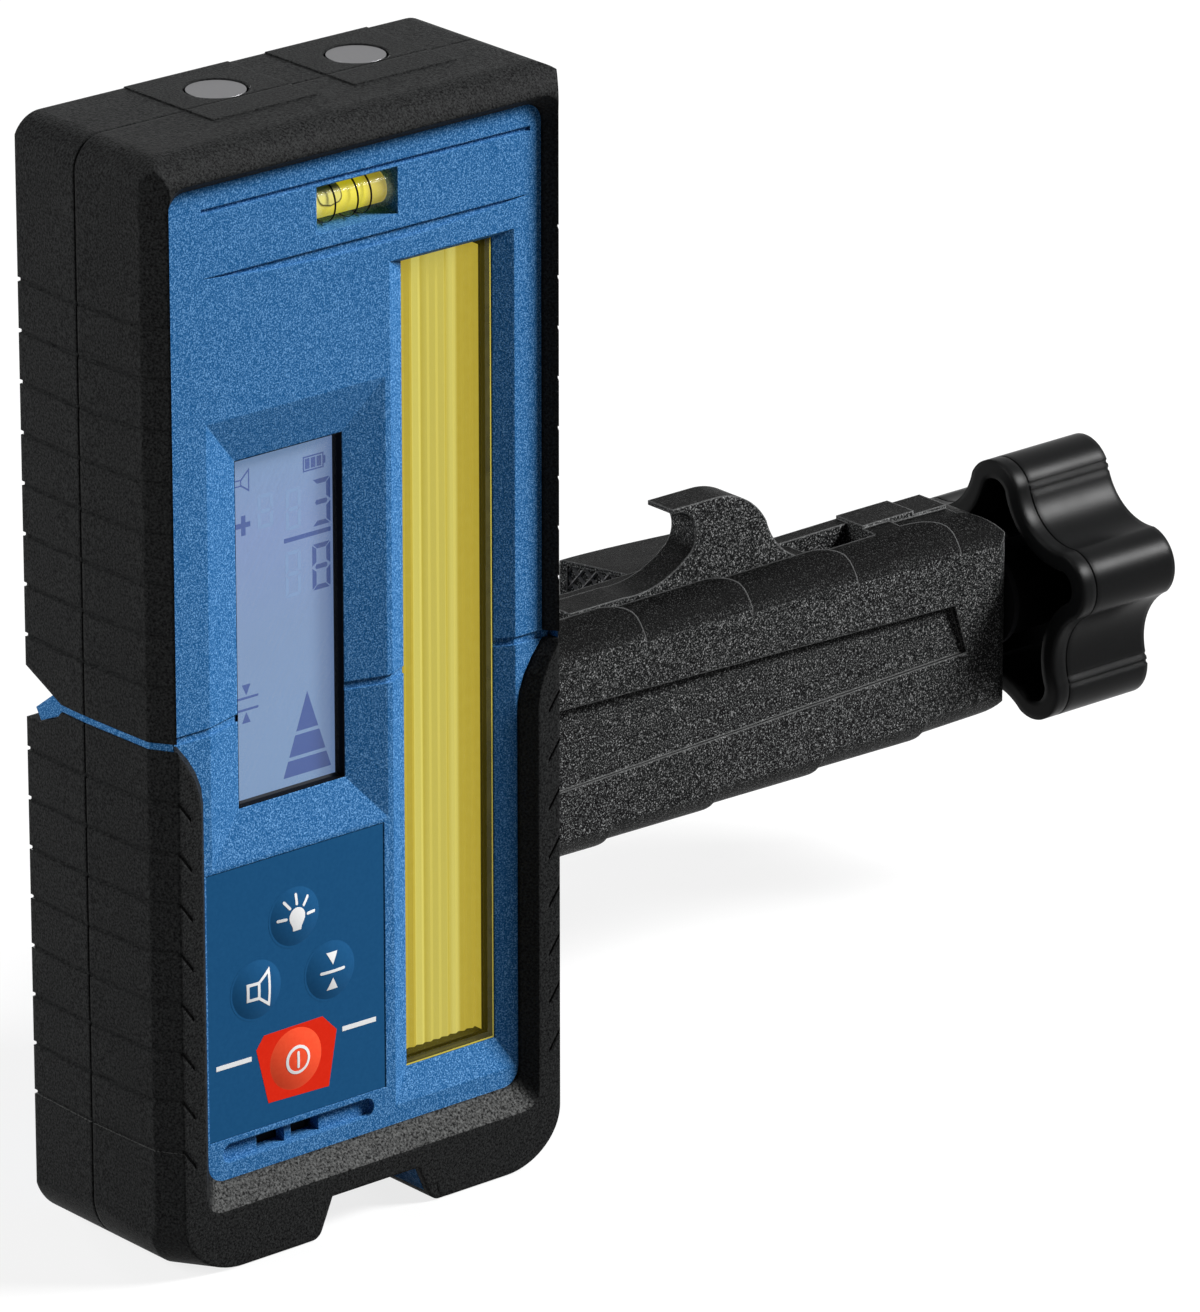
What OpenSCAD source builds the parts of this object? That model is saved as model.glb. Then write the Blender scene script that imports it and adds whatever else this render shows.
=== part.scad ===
// Laser receiver with a staff clamp, in millimetres.
// X runs right as the display is read, Y runs back, Z runs up.
// The origin is on the plane of the feet, under the middle of the receiver.
// A depth is measured back from the front face of the receiver.

/* [Receiver] */
// Width at the parting seam
body_w = 79; // [78:0.5:84]
// Height from the feet to the magnet pads
body_h = 175; // [174:1:184]
// Depth from the lower cover to the back
body_d = 33; // [32.5:0.5:36]
// Depth of the rear half behind the parting seam
rear_half_d = 14.4; // [13:0.1:15.5]
// Draft of the walls each way from the seam, in degrees
draft = 1.75; // [0.5:0.25:2.5]
// Radius of the upper corners
top_r = 5; // [4:0.5:8]
// Radius of the lower corners
foot_r = 9; // [6:0.5:10]
// Radius between the top and the front
brow_r = 5.5; // [4:0.5:7]
// Width of the bevel along the upright front edges
bevel_w = 2.6; // [2:0.1:3]
// Depth of that bevel
bevel_d = 4; // [3:0.5:6]
// Thickness of the rubber covers
rubber_t = 2.4; // [2:0.1:2.8]
// Wall of the plastic shells
shell_t = 2; // [1.6:0.1:2.2]
// Thickness of the front panel
panel_t = 3.2; // [3:0.1:3.5]
// Height of the blue line at the centre mark
mark_line = 1.2; // [0.8:0.1:2]
// Width of the notch between the feet
notch_w = 22; // [18:1:26]
// Height of the notch between the feet
notch_h = 6.2; // [5:0.2:7]
// Lean of the notch walls, each side
notch_lean = 2.6; // [1:0.2:4]
// Radius of the feet at the notch
notch_r = 2; // [1:0.5:3]

/* [Rubber covers] */
// Width of the upper cover's front strips
upper_strip = 4.5; // [4:0.1:5]
// Widening of the upper mouth towards the front, each side
upper_flare = 1.7; // [1:0.1:1.9]
// Width of the lower cover's front strips
lower_strip = 9.4; // [8.5:0.1:9.4]
// Widening of the lower mouth towards the front, each side
lower_flare = 2.2; // [1:0.1:2.6]
// Height of the panel's lower edge
panel_z = 13.3; // [12:0.1:14]
// Widening of the lower mouth downwards
sill_flare = 3.8; // [2:0.2:5]
// Drop from the magnet pads to the panel's upper edge
panel_drop = 5.9; // [5:0.1:7]
// Drop from the centre mark to where the lower mouth starts to widen
shoulder_drop = 10.8; // [9.5:0.1:14]
// Corner radius of the mouths
mouth_r = 3; // [2:0.5:4]
// Spacing of the side grooves at the full height
full_groove_pitch = 7.9; // [7:0.1:8]
// First groove above the centre mark
groove_up = 9.2; // [8:0.1:11]
// First groove below the centre mark
groove_down = 8.8; // [8:0.1:10]
// Grooves in each cover
groove_count = 8; // [4:1:8]
// Width of a side groove
groove_w = 0.7; // [0.5:0.1:1.2]
// Depth of a side groove
groove_t = 0.3; // [0.2:0.1:0.8]
// Run of the slanted tick on the lower front strip
tick_run = 2.2; // [1:0.1:2.6]
// Drop of the slanted tick
tick_drop = 3; // [2:0.2:4]
// Width of the rear cover's strips
rear_strip = 5.3; // [5:0.1:5.5]
// Height of the V notch above the centre mark
vee_h = 4.8; // [4:0.2:6]
// Depth of the V notch forward from the back
vee_d = 8.8; // [6:0.2:10]
// Depth of the V notch below the centre mark
vee_low = 3.8; // [3:0.1:4.5]
// Length of the blue tooth in the V notch
tooth_l = 5.8; // [4:0.2:6]

/* [Magnets] */
// Places of the magnets across the top at the full width
full_magnet_x = [-9.2, 17.2];
// Distance of the magnets from the back
magnet_back = 9.4; // [8:0.1:9.5]
// Radius of a magnet
magnet_r = 4.5; // [3:0.1:5]
// Thickness of a magnet
magnet_t = 4; // [3:0.1:4.2]
// Width of a magnet pad
pad_w = 19.4; // [14:0.2:22]
// Depth where the pads start
pad_depth = 12; // [9:0.5:14]
// Rise of the pads above the top
pad_rise = 0.2; // [0.2:0.1:0.8]

/* [Display] */
// Middle of the display across the panel at the full width
full_lcd_x = -11.8; // [-13:0.1:-11]
// Middle of the display above the centre mark at the full height
full_lcd_up = 12.8; // [12:0.1:13.5]
// Width of the display opening at the full width
full_lcd_w = 20.2; // [18:0.1:21]
// Height of the display opening at the full height
full_lcd_h = 54.4; // [50:0.1:56]
// Width of the sloping frame at the sides at the full width
full_lcd_slope_x = 6.7; // [4:0.1:6.9]
// Height of the sloping frame above and below at the full height
full_lcd_slope_z = 7.6; // [4:0.1:8]
// Depth of the sloping frame
lcd_sink = 2; // [1:0.1:2.2]
// Lap of the pane behind the frame
pane_lap = 1.5; // [1:0.1:2]
// Thickness of the pane
pane_t = 1; // [0.8:0.1:1.2]
// Thickness of the liquid crystal glass
glass_t = 1.6; // [1.2:0.1:1.8]
// Thickness of the backlight
light_t = 1.2; // [0.8:0.1:1.4]

/* [Detector] */
// Middle of the detector window across the panel at the full width
full_lens_x = 18.1; // [17.6:0.1:18.2]
// Width of the detector window at the full width
full_lens_w = 17.4; // [15:0.1:17.4]
// Lower end of the detector window
lens_low = 21.2; // [21:0.1:24]
// Drop from the magnet pads to the detector window
lens_drop = 25.6; // [25:0.1:30]
// Slope of the frame on the display side at the full width
full_slope_left = 3.4; // [2:0.1:3.5]
// Slope of the frame on the far side at the full width
full_slope_right = 3; // [2:0.1:3]
// Slope of the frame below
lens_slope_low = 4.9; // [3:0.1:5.4]
// Slope of the frame above
lens_slope_top = 1; // [0.5:0.1:3]
// Depth of the detector frame
lens_sink = 1.6; // [1:0.1:2]
// Wall of the yellow tray
tray_t = 1.1; // [0.9:0.1:1.3]
// Lap of the tray's flange behind the panel
tray_lap = 1.1; // [0.8:0.1:1.3]
// Thickness of the tray's flange
flange_t = 0.8; // [0.6:0.1:1]
// Depth of the detector board
sensor_depth = 9.2; // [9:0.1:9.6]
// Thickness of the circuit boards
board_t = 1.6; // [1.2:0.1:1.8]
// Thickness of the ribbed strip
strip_t = 1.2; // [1:0.1:1.4]
// Ribs on the strip
strip_ribs = 9; // [5:1:12]
// Height of a rib
rib_t = 0.4; // [0.2:0.1:0.5]
// Photodiodes behind the strip
diode_count = 12; // [6:1:16]
// Side of a photodiode
diode_s = 5; // [3:0.5:6]
// Height of a photodiode
diode_t = 0.9; // [0.6:0.1:1]

/* [Level] */
// Height of the vial window
vial_window_h = 7.2; // [6.6:0.1:8]
// Width of the vial window
vial_window_w = 15.2; // [12:0.2:15.6]
// Drop from the magnet pads to the vial
vial_drop = 13.9; // [13:0.1:14.5]
// Radius of the vial
vial_r = 3.4; // [2.6:0.1:3.5]
// Wall of the vial
vial_wall = 0.8; // [0.6:0.1:1]
// Length of the bubble
bubble_l = 4.6; // [3:0.2:6]
// Place of the bubble along the vial
bubble_x = -4; // [-4:0.2:4]
// Radius of the bubble
bubble_r = 1.5; // [1:0.1:1.8]

/* [Keypad] */
// Left edge of the keypad at the full width
full_pad_left = -29.8; // [-29.8:0.1:-28]
// Right edge of the keypad at the full width
full_pad_right = 4.1; // [3:0.1:4.9]
// Lower edge of the keypad
pad_low = 19.8; // [19.6:0.1:21]
// Gap between the keypad and the display frame
pad_gap = 0.6; // [0.4:0.1:1.2]
// Thickness of the overlay
overlay_t = 0.7; // [0.5:0.1:0.9]
// Light key across the panel and above the keypad's lower edge, at the full size
light_place = [-13.1, 32.3];
// Volume key likewise
volume_place = [-20.5, 22.5];
// Precision key likewise
precision_place = [-6.4, 21.9];
// Power key likewise
power_place = [-13.2, 9.4];
// Radius of the small keys
key_r = 4.7; // [4:0.1:4.8]
// Radius of the power key
power_r = 5; // [4.5:0.1:5.2]
// Rise of the key domes
key_rise = 0.7; // [0.5:0.1:1.2]
// Travel of the keys
key_travel = 0.5; // [0.3:0.1:0.6]
// Side of a key switch
switch_s = 6; // [5:0.1:6.4]

/* [Sound slot] */
// Middle of the slot across the panel at the full width
full_slot_x = -12.8; // [-13.2:0.1:-12]
// Middle of the slot above the feet
slot_z = 17.4; // [16.8:0.1:17.4]
// Length of the slot at the full width
full_slot_l = 29; // [24:0.2:30]
// Height of the slot
slot_h = 3; // [2.4:0.1:3.2]
// Depth of the slot
slot_t = 1.2; // [0.8:0.1:1.6]
// Width of each opening in the slot
sound_w = 5.3; // [4:0.1:6]
// Bar between the openings
sound_bar = 1.3; // [0.8:0.1:2]
// Radius of the buzzer
buzzer_r = 5; // [4.6:0.1:5]
// Height of the buzzer
buzzer_t = 3.4; // [2:0.1:3.5]

/* [Boards and screws] */
// Depth of the main board
board_depth = 9.8; // [9.6:0.1:10]
// Distance of the housing screws from the sides
screw_side = 8.7; // [8.5:0.1:9.1]
// Height of the lower housing screws
screw_low = 16; // [15.6:0.1:17]
// Drop from the magnet pads to the upper housing screws
screw_drop = 13; // [12:0.1:14]
// Radius of a housing screw
screw_r = 1.4; // [1.2:0.1:1.6]
// Radius of a housing screw's head
head_r = 2.5; // [2.2:0.1:2.6]
// Height of a housing screw's head
head_t = 2; // [1.5:0.1:2.4]
// Radius of the screw columns
column_r = 3; // [2.8:0.1:3.1]
// Radius of the board posts
post_r = 2; // [1.8:0.1:2.2]
// Radius of a board screw
board_screw_r = 0.9; // [0.8:0.1:1]

/* [Battery bay] */
// Largest radius of a cell
full_cell_r = 7.1; // [6.9:0.1:7.2]
// Length of a cell without its nub
cell_l = 49.5; // [48:0.5:50]
// Height of a cell's nub
nub_t = 1; // [0.8:0.1:1.2]
// Radius of a cell's nub
nub_r = 2.75; // [2:0.05:3]
// Gap between the cells
cell_gap = 0.8; // [0.6:0.1:1.2]
// Drop from the magnet pads to the lowest point of the cells
cell_drop = 74; // [73:0.5:75]
// Height of the contact humps
contact_t = 1.6; // [1.2:0.1:2]
// Thickness of the contact plates
contact_plate = 0.4; // [0.3:0.1:0.6]
// Width of the rim around the bay
rim_w = 5.4; // [4.8:0.1:6]
// Thickness of the battery door
door_t = 1.8; // [1.5:0.1:2]
// Thickness of the door seal
door_seal_t = 1; // [0.8:0.1:1.2]
// Radius of the hinge pin
pin_r = 1; // [0.8:0.05:1.1]
// Radius of the hinge knuckles
knuckle_r = 1.7; // [1.6:0.05:1.8]
// Length of a door knuckle
knuckle_l = 6.4; // [5:0.1:7]

/* [Clamp bar] */
// Gap between the receiver's back and the bar
bar_gap = 1; // [0.5:0.1:2]
// Depth of the bar
bar_d = 15; // [14.6:0.1:16]
// Left end of the bar
bar_left = -18; // [-24:0.5:-16]
// Right end of the bar
bar_right = 161; // [156:0.5:166]
// Height of the screw axis above the feet at the full height
full_clamp_z = 50; // [48:0.5:52]
// Top of the bar above the axis, beside the receiver
bar_up = 18.4; // [17.5:0.1:19.5]
// Underside of the bar below the axis, beside the receiver
bar_down = 20.6; // [19.5:0.1:21.5]
// Fall of the top towards the knob, in degrees
top_fall = 1.3; // [0.5:0.1:1.6]
// Rise of the underside towards the knob, in degrees
base_rise = 0.9; // [0.3:0.1:1.2]
// Radius of the bar's front edges
bar_r = 8; // [5:0.5:9]
// Radius of the bar's right end, seen from the front
bar_end_r = 7; // [4:0.5:8]
// Spacing of the scale-like steps
scale_pitch = 22.2; // [20:0.2:24]
// First step on top
scale_top_x = 83; // [80:0.5:86]
// First step underneath
scale_low_x = 76; // [74:0.5:80]
// Steps on each side
scale_count = 4; // [2:1:4]
// Height of a step
scale_t = 0.7; // [0.4:0.1:1]
// Sweep of a step's edge to the left, seen from above
scale_bend = 8; // [4:0.5:10]
// Left end of the sunk field on the front
field_left = 48; // [42:1:60]
// Right end of the sunk field
field_right = 151; // [140:1:152]
// Height of the sunk field at its left end
field_h_left = 14.6; // [12:0.2:17]
// Height of the sunk field at its right end
field_h_right = 8.6; // [7:0.2:11]
// Depth of the sunk field along its upper edge
field_t = 1.5; // [1:0.1:1.6]
// Depth of the sunk field along its lower edge
field_foot_t = 0.5; // [0.3:0.1:1]
// Height of the field's middle below the axis
field_drop = 0.8; // [0:0.1:2]
// Right end of the jaw's slot
slot_end = 136; // [134:0.5:138]
// Rise of the end block above the bar
block_rise = 0.8; // [0.5:0.1:1.5]
// Length of the end block
block_l = 11; // [8:0.5:14]

/* [Jaws] */
// Inner face of the fixed jaw
fixed_x = 40; // [36:0.5:42]
// Width of the fixed jaw
fixed_w = 12; // [10:0.5:14]
// Gripping edge of the movable jaw at rest
jaw_x = 96; // [94:0.5:98]
// Lean of the jaw faces over their reach
jaw_lean = 5.5; // [2:0.1:6]
// Reach of the jaws behind the bar
jaw_reach = 17; // [14:0.5:18]
// Top of the jaws above the axis
jaw_up = 17.4; // [15:0.2:18]
// Underside of the jaws below the axis
jaw_down = 15; // [13:0.2:17]
// Width of the movable jaw's block
jaw_w = 21; // [18:0.5:22]
// Fall of the block's top towards the knob
grip_fall = 2.7; // [1:0.1:3]
// Radius of the block's upper far corner
grip_r = 5; // [3:0.5:6]
// Margin around the sunk gripping face
grip_rim = 1.4; // [1:0.1:2]
// Depth of the sunk gripping face
grip_t = 0.7; // [0.4:0.1:1]
// Length of the carriage in the bar
carriage_l = 29.5; // [26:0.5:30]
// Jaw travel towards the knob
jaw_out = 12.5; // [8:0.1:12.5]
// Jaw travel towards the fixed jaw
jaw_in = 42; // [36:0.5:42]
// Top of the pointer above the axis
pointer_up = 31; // [29:0.2:33]
// Thickness of the pointer
pointer_t = 6; // [5:0.1:6.4]
// Left end of the pointer's foot, from the gripping edge
pointer_left = -23.6; // [-25:0.2:-18]
// Right end of the pointer's foot, from the gripping edge
pointer_right = 27.2; // [26:0.1:27.2]

/* [Screws and knobs] */
// Radius of the lead screw
lead_r = 4; // [3:0.1:4.2]
// Depth of the screw axis behind the bar's front
lead_depth = 8; // [7.8:0.1:8.2]
// Radius over the knob's lobes
knob_r = 22.4; // [20:0.2:24]
// Lobes of the knob
knob_lobes = 5; // [5:1:6]
// Radius of a lobe
lobe_r = 6; // [5.5:0.1:7]
// Length of the knob
knob_l = 20; // [16:0.5:24]
// Length of the knob's rim
rim_l = 2.6; // [2:0.1:4]
// Depth of the fine lines in the knob
knob_line = 0.35; // [0.2:0.05:0.5]
// Wall of the knob
knob_wall = 3; // [2.4:0.1:3.4]
// Radius of the knob's hub
hub_r = 7.5; // [6.5:0.1:9]
// Thickness of the thrust washer
washer_t = 1; // [0.8:0.1:1.5]
// Radius of the mounting screw
mount_r = 2.5; // [2:0.1:3]
// Radius of the mounting screw's head
mount_head_r = 11; // [9:0.2:12]
// Height of the mounting screw's head
mount_head_t = 9; // [7:0.5:10]
// Outer radius of the brass insert
insert_r = 4.5; // [4.2:0.1:5]
// Largest length of the brass insert
full_insert_l = 9.6; // [8:0.2:10]
// Radius of the clamp's seat on the receiver
seat_r = 13; // [12:0.5:15]
// Radius of the locating pegs
peg_r = 2; // [1.5:0.1:2.4]
// Spacing of the locating pegs
peg_pitch = 19; // [18:0.5:20]

/* [Fits] */
// Gap between pieces that move past each other
move_gap = 0.3; // [0.2:0.05:0.4]
// Gap around pieces that are put together
fit_gap = 0.1; // [0.05:0.01:0.15]
// Radial gap of a running shaft
run_gap = 0.05; // [0.03:0.01:0.08]

/* [Hidden] */
$fn = 64;
// Overshoot of a cut past the face it opens
over = 1;
// Facets on the rounds of a hull
hull_fn = 32;

blue = [0.16, 0.36, 0.62];
deep_blue = [0.09, 0.27, 0.46];
rubber = [0.09, 0.09, 0.09];
black = [0.06, 0.06, 0.06];
red = [0.85, 0.15, 0.1];
yellow = [0.86, 0.76, 0.25];
steel = [0.62, 0.62, 0.63];
brass = [0.72, 0.58, 0.3];
green = [0.1, 0.32, 0.18];
pale = [0.66, 0.74, 0.86];

// Full size that the layout of the panel is drawn for, and its share that is used
full_w = 79;
full_h = 175;
wide = body_w / full_w;
tall = body_h / full_h;

// Main planes of the receiver
seam_depth = body_d - rear_half_d;
cap_z = body_h - pad_rise;
panel_d = rubber_t;
panel_in = panel_d + panel_t;
rear_out = body_d - rubber_t;
rear_in = rear_out - shell_t;
inner_bevel = 0.5;
least_r = 1;
cavity_x = half_w(0) - rubber_t - shell_t;
cavity_low = notch_h + shell_t;
cavity_high = cap_z - rubber_t - shell_t;
panel_high = body_h - panel_drop;
lens_high = body_h - lens_drop;
lens_h = lens_high - lens_low;
mark_z = (lens_low + lens_high) / 2;
mark_sink = 0.25;
mark_groove = 0.35;
seam_line = 0.35;
upper_mouth_w = body_w - 2 * upper_strip;
lower_mouth_w = body_w - 2 * lower_strip;
rear_mouth_w = body_w - 2 * rear_strip;
shoulder_low = mark_z - shoulder_drop;
shoulder_high = mark_z - mark_line / 2;
shoulder_steps = 4;
shoulder_power = 1.9;
shoulder_lap = 0.5;
groove_pitch = full_groove_pitch * tall;
magnet_x = wide * full_magnet_x;
magnet_depth = body_d - magnet_back;
magnet_gap = 0.4;

// Places of the screws and posts
screw_x = body_w / 2 - screw_side;
screw_high = body_h - screw_drop;
screw_points = [for (x = [-screw_x, screw_x], z = [screw_low, screw_high]) [x, z]];
screw_seat = rear_out - 3.6;
screw_tip = panel_in + 4;
board_left = -26.6 * wide;
board_right = 4.2 * wide;
board_low = 24.6;
board_drop = 39;
board_high = body_h - board_drop;
post_inset = 2.4;
board_points = [
    for (x = [board_left + post_inset, board_right - post_inset])
        for (z = [board_low + post_inset, board_high - post_inset]) [x, z]
];
board_screw_l = 3.4;
board_head_t = 1;
board_back = board_depth + board_t + board_head_t;

// Display stack
lcd_x = full_lcd_x * wide;
lcd_z = mark_z + full_lcd_up * tall;
lcd_w = full_lcd_w * wide;
lcd_h = full_lcd_h * tall;
lcd_slope_x = full_lcd_slope_x * wide;
lcd_slope_z = full_lcd_slope_z * tall;
pane_d = panel_in;
glass_d = pane_d + pane_t;
light_d = glass_d + glass_t;

// Detector stack
tray_d = panel_d + lens_sink + fit_gap;
lens_x = full_lens_x * wide;
lens_w = full_lens_w * wide;
lens_slope_left = full_slope_left * wide;
lens_slope_right = full_slope_right * wide;
lens_left = lens_x - lens_w / 2;
lens_right = lens_x + lens_w / 2;
strip_d = sensor_depth - diode_t - strip_t;

// Level
vial_z = body_h - vial_drop;
vial_d = panel_d + vial_r + 0.4;
vial_l = vial_window_w - 2 * fit_gap;
cradle_wall = 1.6;

// Lines across the brow
crease_left = -29 * wide;
crease_right = 32.9 * wide;
crease_drop = 5.9;
crease_z = vial_z - crease_drop;
crease_h = 1.7;
line_h = 0.7;
line_t = 0.5;

// Sound slot
slot_x = full_slot_x * wide;
slot_l = full_slot_l * wide;

// Keys and their switches
pad_left = full_pad_left * wide;
pad_right = full_pad_right * wide;
pad_high = lcd_z - lcd_h / 2 - lcd_slope_z - pad_gap;
pad_h = pad_high - pad_low;
full_pad_h = 42.9;
light_at = key_point(light_place);
volume_at = key_point(volume_place);
precision_at = key_point(precision_place);
power_at = key_point(power_place);
overlay_sink = 0.1;
overlay_d = panel_d + overlay_sink;
flange_d = panel_in + move_gap;
key_flange_t = 0.6;
key_flange_w = 0.7;
key_end = flange_d + key_flange_t + 0.35;
plunger_tip = key_end + key_travel + 0.05;
plunger_l = 0.5;
plunger_r = 1.6;
small_keys = [light_at, volume_at, precision_at];

// Battery bay, with cells as thick as the depth behind the board takes
door_in = rear_out - door_t;
rim_d = door_in - door_seal_t - run_gap;
bay_wall = 1.1;
cell_proud = 0.4;
board_gap = 0.15;
cell_front = board_back + board_gap + bay_wall + move_gap;
cell_r = min(full_cell_r, (rim_d + cell_proud - cell_front) / 2);
cell_pitch = 2 * cell_r + cell_gap;
cell_z = body_h - cell_drop;
bay_x = cell_pitch / 2 + cell_r + move_gap;
bay_low = cell_z - contact_t - contact_plate;
bay_high = cell_z + cell_l + nub_t + contact_t + contact_plate;
cell_d = rim_d - cell_r + cell_proud;
bay_d = cell_d - cell_r - move_gap;
door_x = bay_x + rim_w - 1.6;
door_low = bay_low - rim_w + 1.6;
door_high = bay_high + rim_w - 1.6;
seal_inset = 1.2;
swing_gap = 0.9;
scoop_r = 6;
scoop_l = door_x;
pin_d = rear_out - knuckle_r;
pin_z = door_low - 2.8;
hinge_low = pin_z - knuckle_r - 1;
hinge_x = door_x - 3.4;
pin_l = 2 * hinge_x + 5;
hinge_d = pin_d - knuckle_r - 0.6;

// Clamp
clamp_z = full_clamp_z * tall;
bar_front = body_d + bar_gap;
bar_back = bar_front + bar_d;
lead_d = bar_front + lead_depth;
bar_ref_x = 70;
bar_edge = 0.6;
block_d = bar_front + bar_r + bar_edge;
field_lean = 2.6;
channel_left = 44;
carriage_lead = 8;
channel_right = jaw_x - carriage_lead + carriage_l + jaw_out + 1;
channel_d = bar_front + 2.5;
channel_up = 10;
channel_down = 8.5;
lip_d = bar_front + 5.7;
pointer_d = lip_d + move_gap;
slot_start = jaw_x + pointer_left - jaw_in - 2;
jaw_front = bar_back + move_gap;
jaw_back = jaw_front + jaw_reach;
knob_left = bar_right + washer_t + 2;
lobe_bite = 0.15;
lobe_share = 1.7;
scale_turn = bar_front + 2;
scale_reach = 4;
jaw_screw_l = 8;
jaw_nose_w = 2;
jaw_nose_d = 2.5;
grip_low = clamp_z - jaw_down;
grip_high = clamp_z + jaw_up;
lead_left = channel_left - 3;
lead_right = knob_left + knob_l - 5;
insert_l = min(full_insert_l, rear_out - 2 * shell_t - board_back);
mount_tip = rear_out - insert_l - 0.2;
jaw_screw_points = [
    [fixed_x - fixed_w / 2, clamp_z - jaw_down / 2], [fixed_x - fixed_w / 2, clamp_z + channel_up / 2]
];

// Reading pointer, whose throat runs on into a long sweep
pointer_tip = jaw_x - 2.4;
pointer_top = clamp_z + pointer_up;
crest_r = 12.2;
crest_x = 6.5;
crest_at = [jaw_x + crest_x, pointer_top - crest_r];
hollow_at = [jaw_x + pointer_right + 1.1, pointer_top - 3.2];
hollow_r = norm(hollow_at - crest_at) - crest_r + lobe_bite;
throat_r = 4.3;
throat_at = [jaw_x - 1.8, pointer_top - 5];
sweep_r = 17.5;
sweep_turn = 50;
sweep_bite = 0.03;
sweep_to = [cos(sweep_turn), -sin(sweep_turn)];
sweep_at = throat_at + (throat_r - sweep_r - sweep_bite) * sweep_to;
sweep_z = throat_at[1] + throat_r * sweep_to[1];

function key_point(place) = [place[0] * wide, pad_low + place[1] * pad_h / full_pad_h];
function depth(d) = d - body_d / 2;
function half_w(d) = body_w / 2 - abs(d - seam_depth) * tan(draft);
function top_at(x) = clamp_z + bar_up - (x - bar_ref_x) * tan(top_fall);
function base_at(x) = clamp_z - bar_down + (x - bar_ref_x) * tan(base_rise);

// Box between two widths, two depths and two heights
module block(x0, x1, d0, d1, z0, z1) {
    translate([x0, depth(d0), z0]) cube([x1 - x0, d1 - d0, z1 - z0]);
}

// Outline drawn as seen from the front, given a thickness between two depths
module slab(d0, d1) {
    translate([0, depth(d1), 0]) rotate([90, 0, 0]) linear_extrude(d1 - d0) children();
}

// Outline drawn in Y and Z, run from one width to another
module across(x0, x1) {
    translate([x0, 0, 0]) rotate([90, 0, 90]) linear_extrude(x1 - x0) children();
}

// Round bar along the depth
module pin_y(at, r, d0, d1) {
    translate([at[0], depth(d1), at[1]]) rotate([90, 0, 0]) cylinder(h = d1 - d0, r = r);
}

// Round bar along the width
module pin_x(d, z, r, x0, x1) {
    translate([x0, depth(d), z]) rotate([0, 90, 0]) cylinder(h = x1 - x0, r = r);
}

// Rectangle with one radius on its low corners and one on its high corners
module round_rect(x0, y0, x1, y1, low_r, high_r) {
    inner = max(low_r, high_r);
    translate([x0, y0 + low_r]) square([x1 - x0, y1 - y0 - low_r - high_r]);
    translate([x0 + inner, y0]) square([x1 - x0 - 2 * inner, y1 - y0]);
    translate([x0 + low_r, y0]) square([x1 - x0 - 2 * low_r, 2 * low_r]);
    translate([x0 + high_r, y1 - 2 * high_r]) square([x1 - x0 - 2 * high_r, 2 * high_r]);
    for (x = [x0 + low_r, x1 - low_r]) translate([x, y0 + low_r]) circle(low_r);
    for (x = [x0 + high_r, x1 - high_r]) translate([x, y1 - high_r]) circle(high_r);
}

// Receiver seen from above, with drafted sides and bevelled front edges
module plan_outline(inset) {
    back = body_d - inset;
    cut_w = max(bevel_w - inset, inner_bevel);
    cut_d = inset + max(bevel_d - inset, inner_bevel);
    side = [
        [half_w(back) - inset, depth(back)],
        [half_w(seam_depth) - inset, depth(seam_depth)],
        [half_w(bevel_d) - inset, depth(cut_d)],
        [half_w(bevel_d) - inset - cut_w, depth(inset)]
    ];
    polygon(concat(side, [for (i = [len(side) - 1:-1:0]) [-side[i][0], side[i][1]]]));
}

// Receiver seen from the side, with a rounded brow
module side_outline(inset) {
    r = max(brow_r - inset, least_r);
    front = depth(inset);
    size = body_d - 2 * inset;
    high = cap_z - 2 * inset;
    translate([front + r, inset]) square([size - r, high]);
    translate([front, inset]) square([size, high - r]);
    translate([front + r, cap_z - inset - r]) circle(r);
}

// The receiver's whole form, drawn in by an even inset
module body_form(inset) {
    intersection() {
        linear_extrude(body_h) plan_outline(inset);
        slab(0, body_d)
            round_rect(inset - body_w / 2, inset, body_w / 2 - inset, cap_z - inset,
                max(foot_r - inset, least_r), max(top_r - inset, least_r));
        across(-body_w / 2, body_w / 2) side_outline(inset);
    }
}

// The part of the form between two depths and two heights
module form_part(inset, d0, d1, z0, z1) {
    intersection() {
        body_form(inset);
        block(-body_w, body_w, d0, d1, z0, z1);
    }
}

// Room left of the right front bevel, with the lower corner rounded along the bevel
module bevel_room() {
    turn = atan(bevel_w / bevel_d);
    translate([half_w(bevel_d) - bevel_w, depth(0), 0]) rotate([0, 0, -turn])
        translate([0, body_w, 0]) rotate([90, 0, 0]) linear_extrude(2 * body_w)
            round_rect(-3 * body_w, 0, 0, cap_z, foot_r, top_r);
}

// Notch between the feet
module base_notch() {
    low = notch_w / 2;
    high = low - notch_lean;
    slope = atan(notch_lean / notch_h);
    reach = notch_r / tan((90 - slope) / 2);
    slab(-over, body_d + over) {
        polygon([[-low, -over], [low, -over], [low, 0], [high, notch_h], [-high, notch_h], [-low, 0]]);
        for (side = [0, 1]) mirror([side, 0]) difference() {
            polygon([
                [low - over, -over], [low + reach, -over], [low + reach, notch_r],
                [low - reach * sin(slope), reach * cos(slope)]
            ]);
            translate([low + reach, notch_r]) circle(notch_r);
        }
    }
}

// Blue line around the sides at the centre mark
module mark_belt(d0, d1) {
    intersection() {
        translate([0, 0, mark_z - mark_line / 2]) linear_extrude(mark_line) difference() {
            plan_outline(mark_sink);
            plan_outline(rubber_t);
            square([upper_mouth_w + 2 * upper_flare, 2 * body_d], center = true);
        }
        block(-body_w, body_w, d0, d1, 0, body_h);
    }
}

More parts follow.
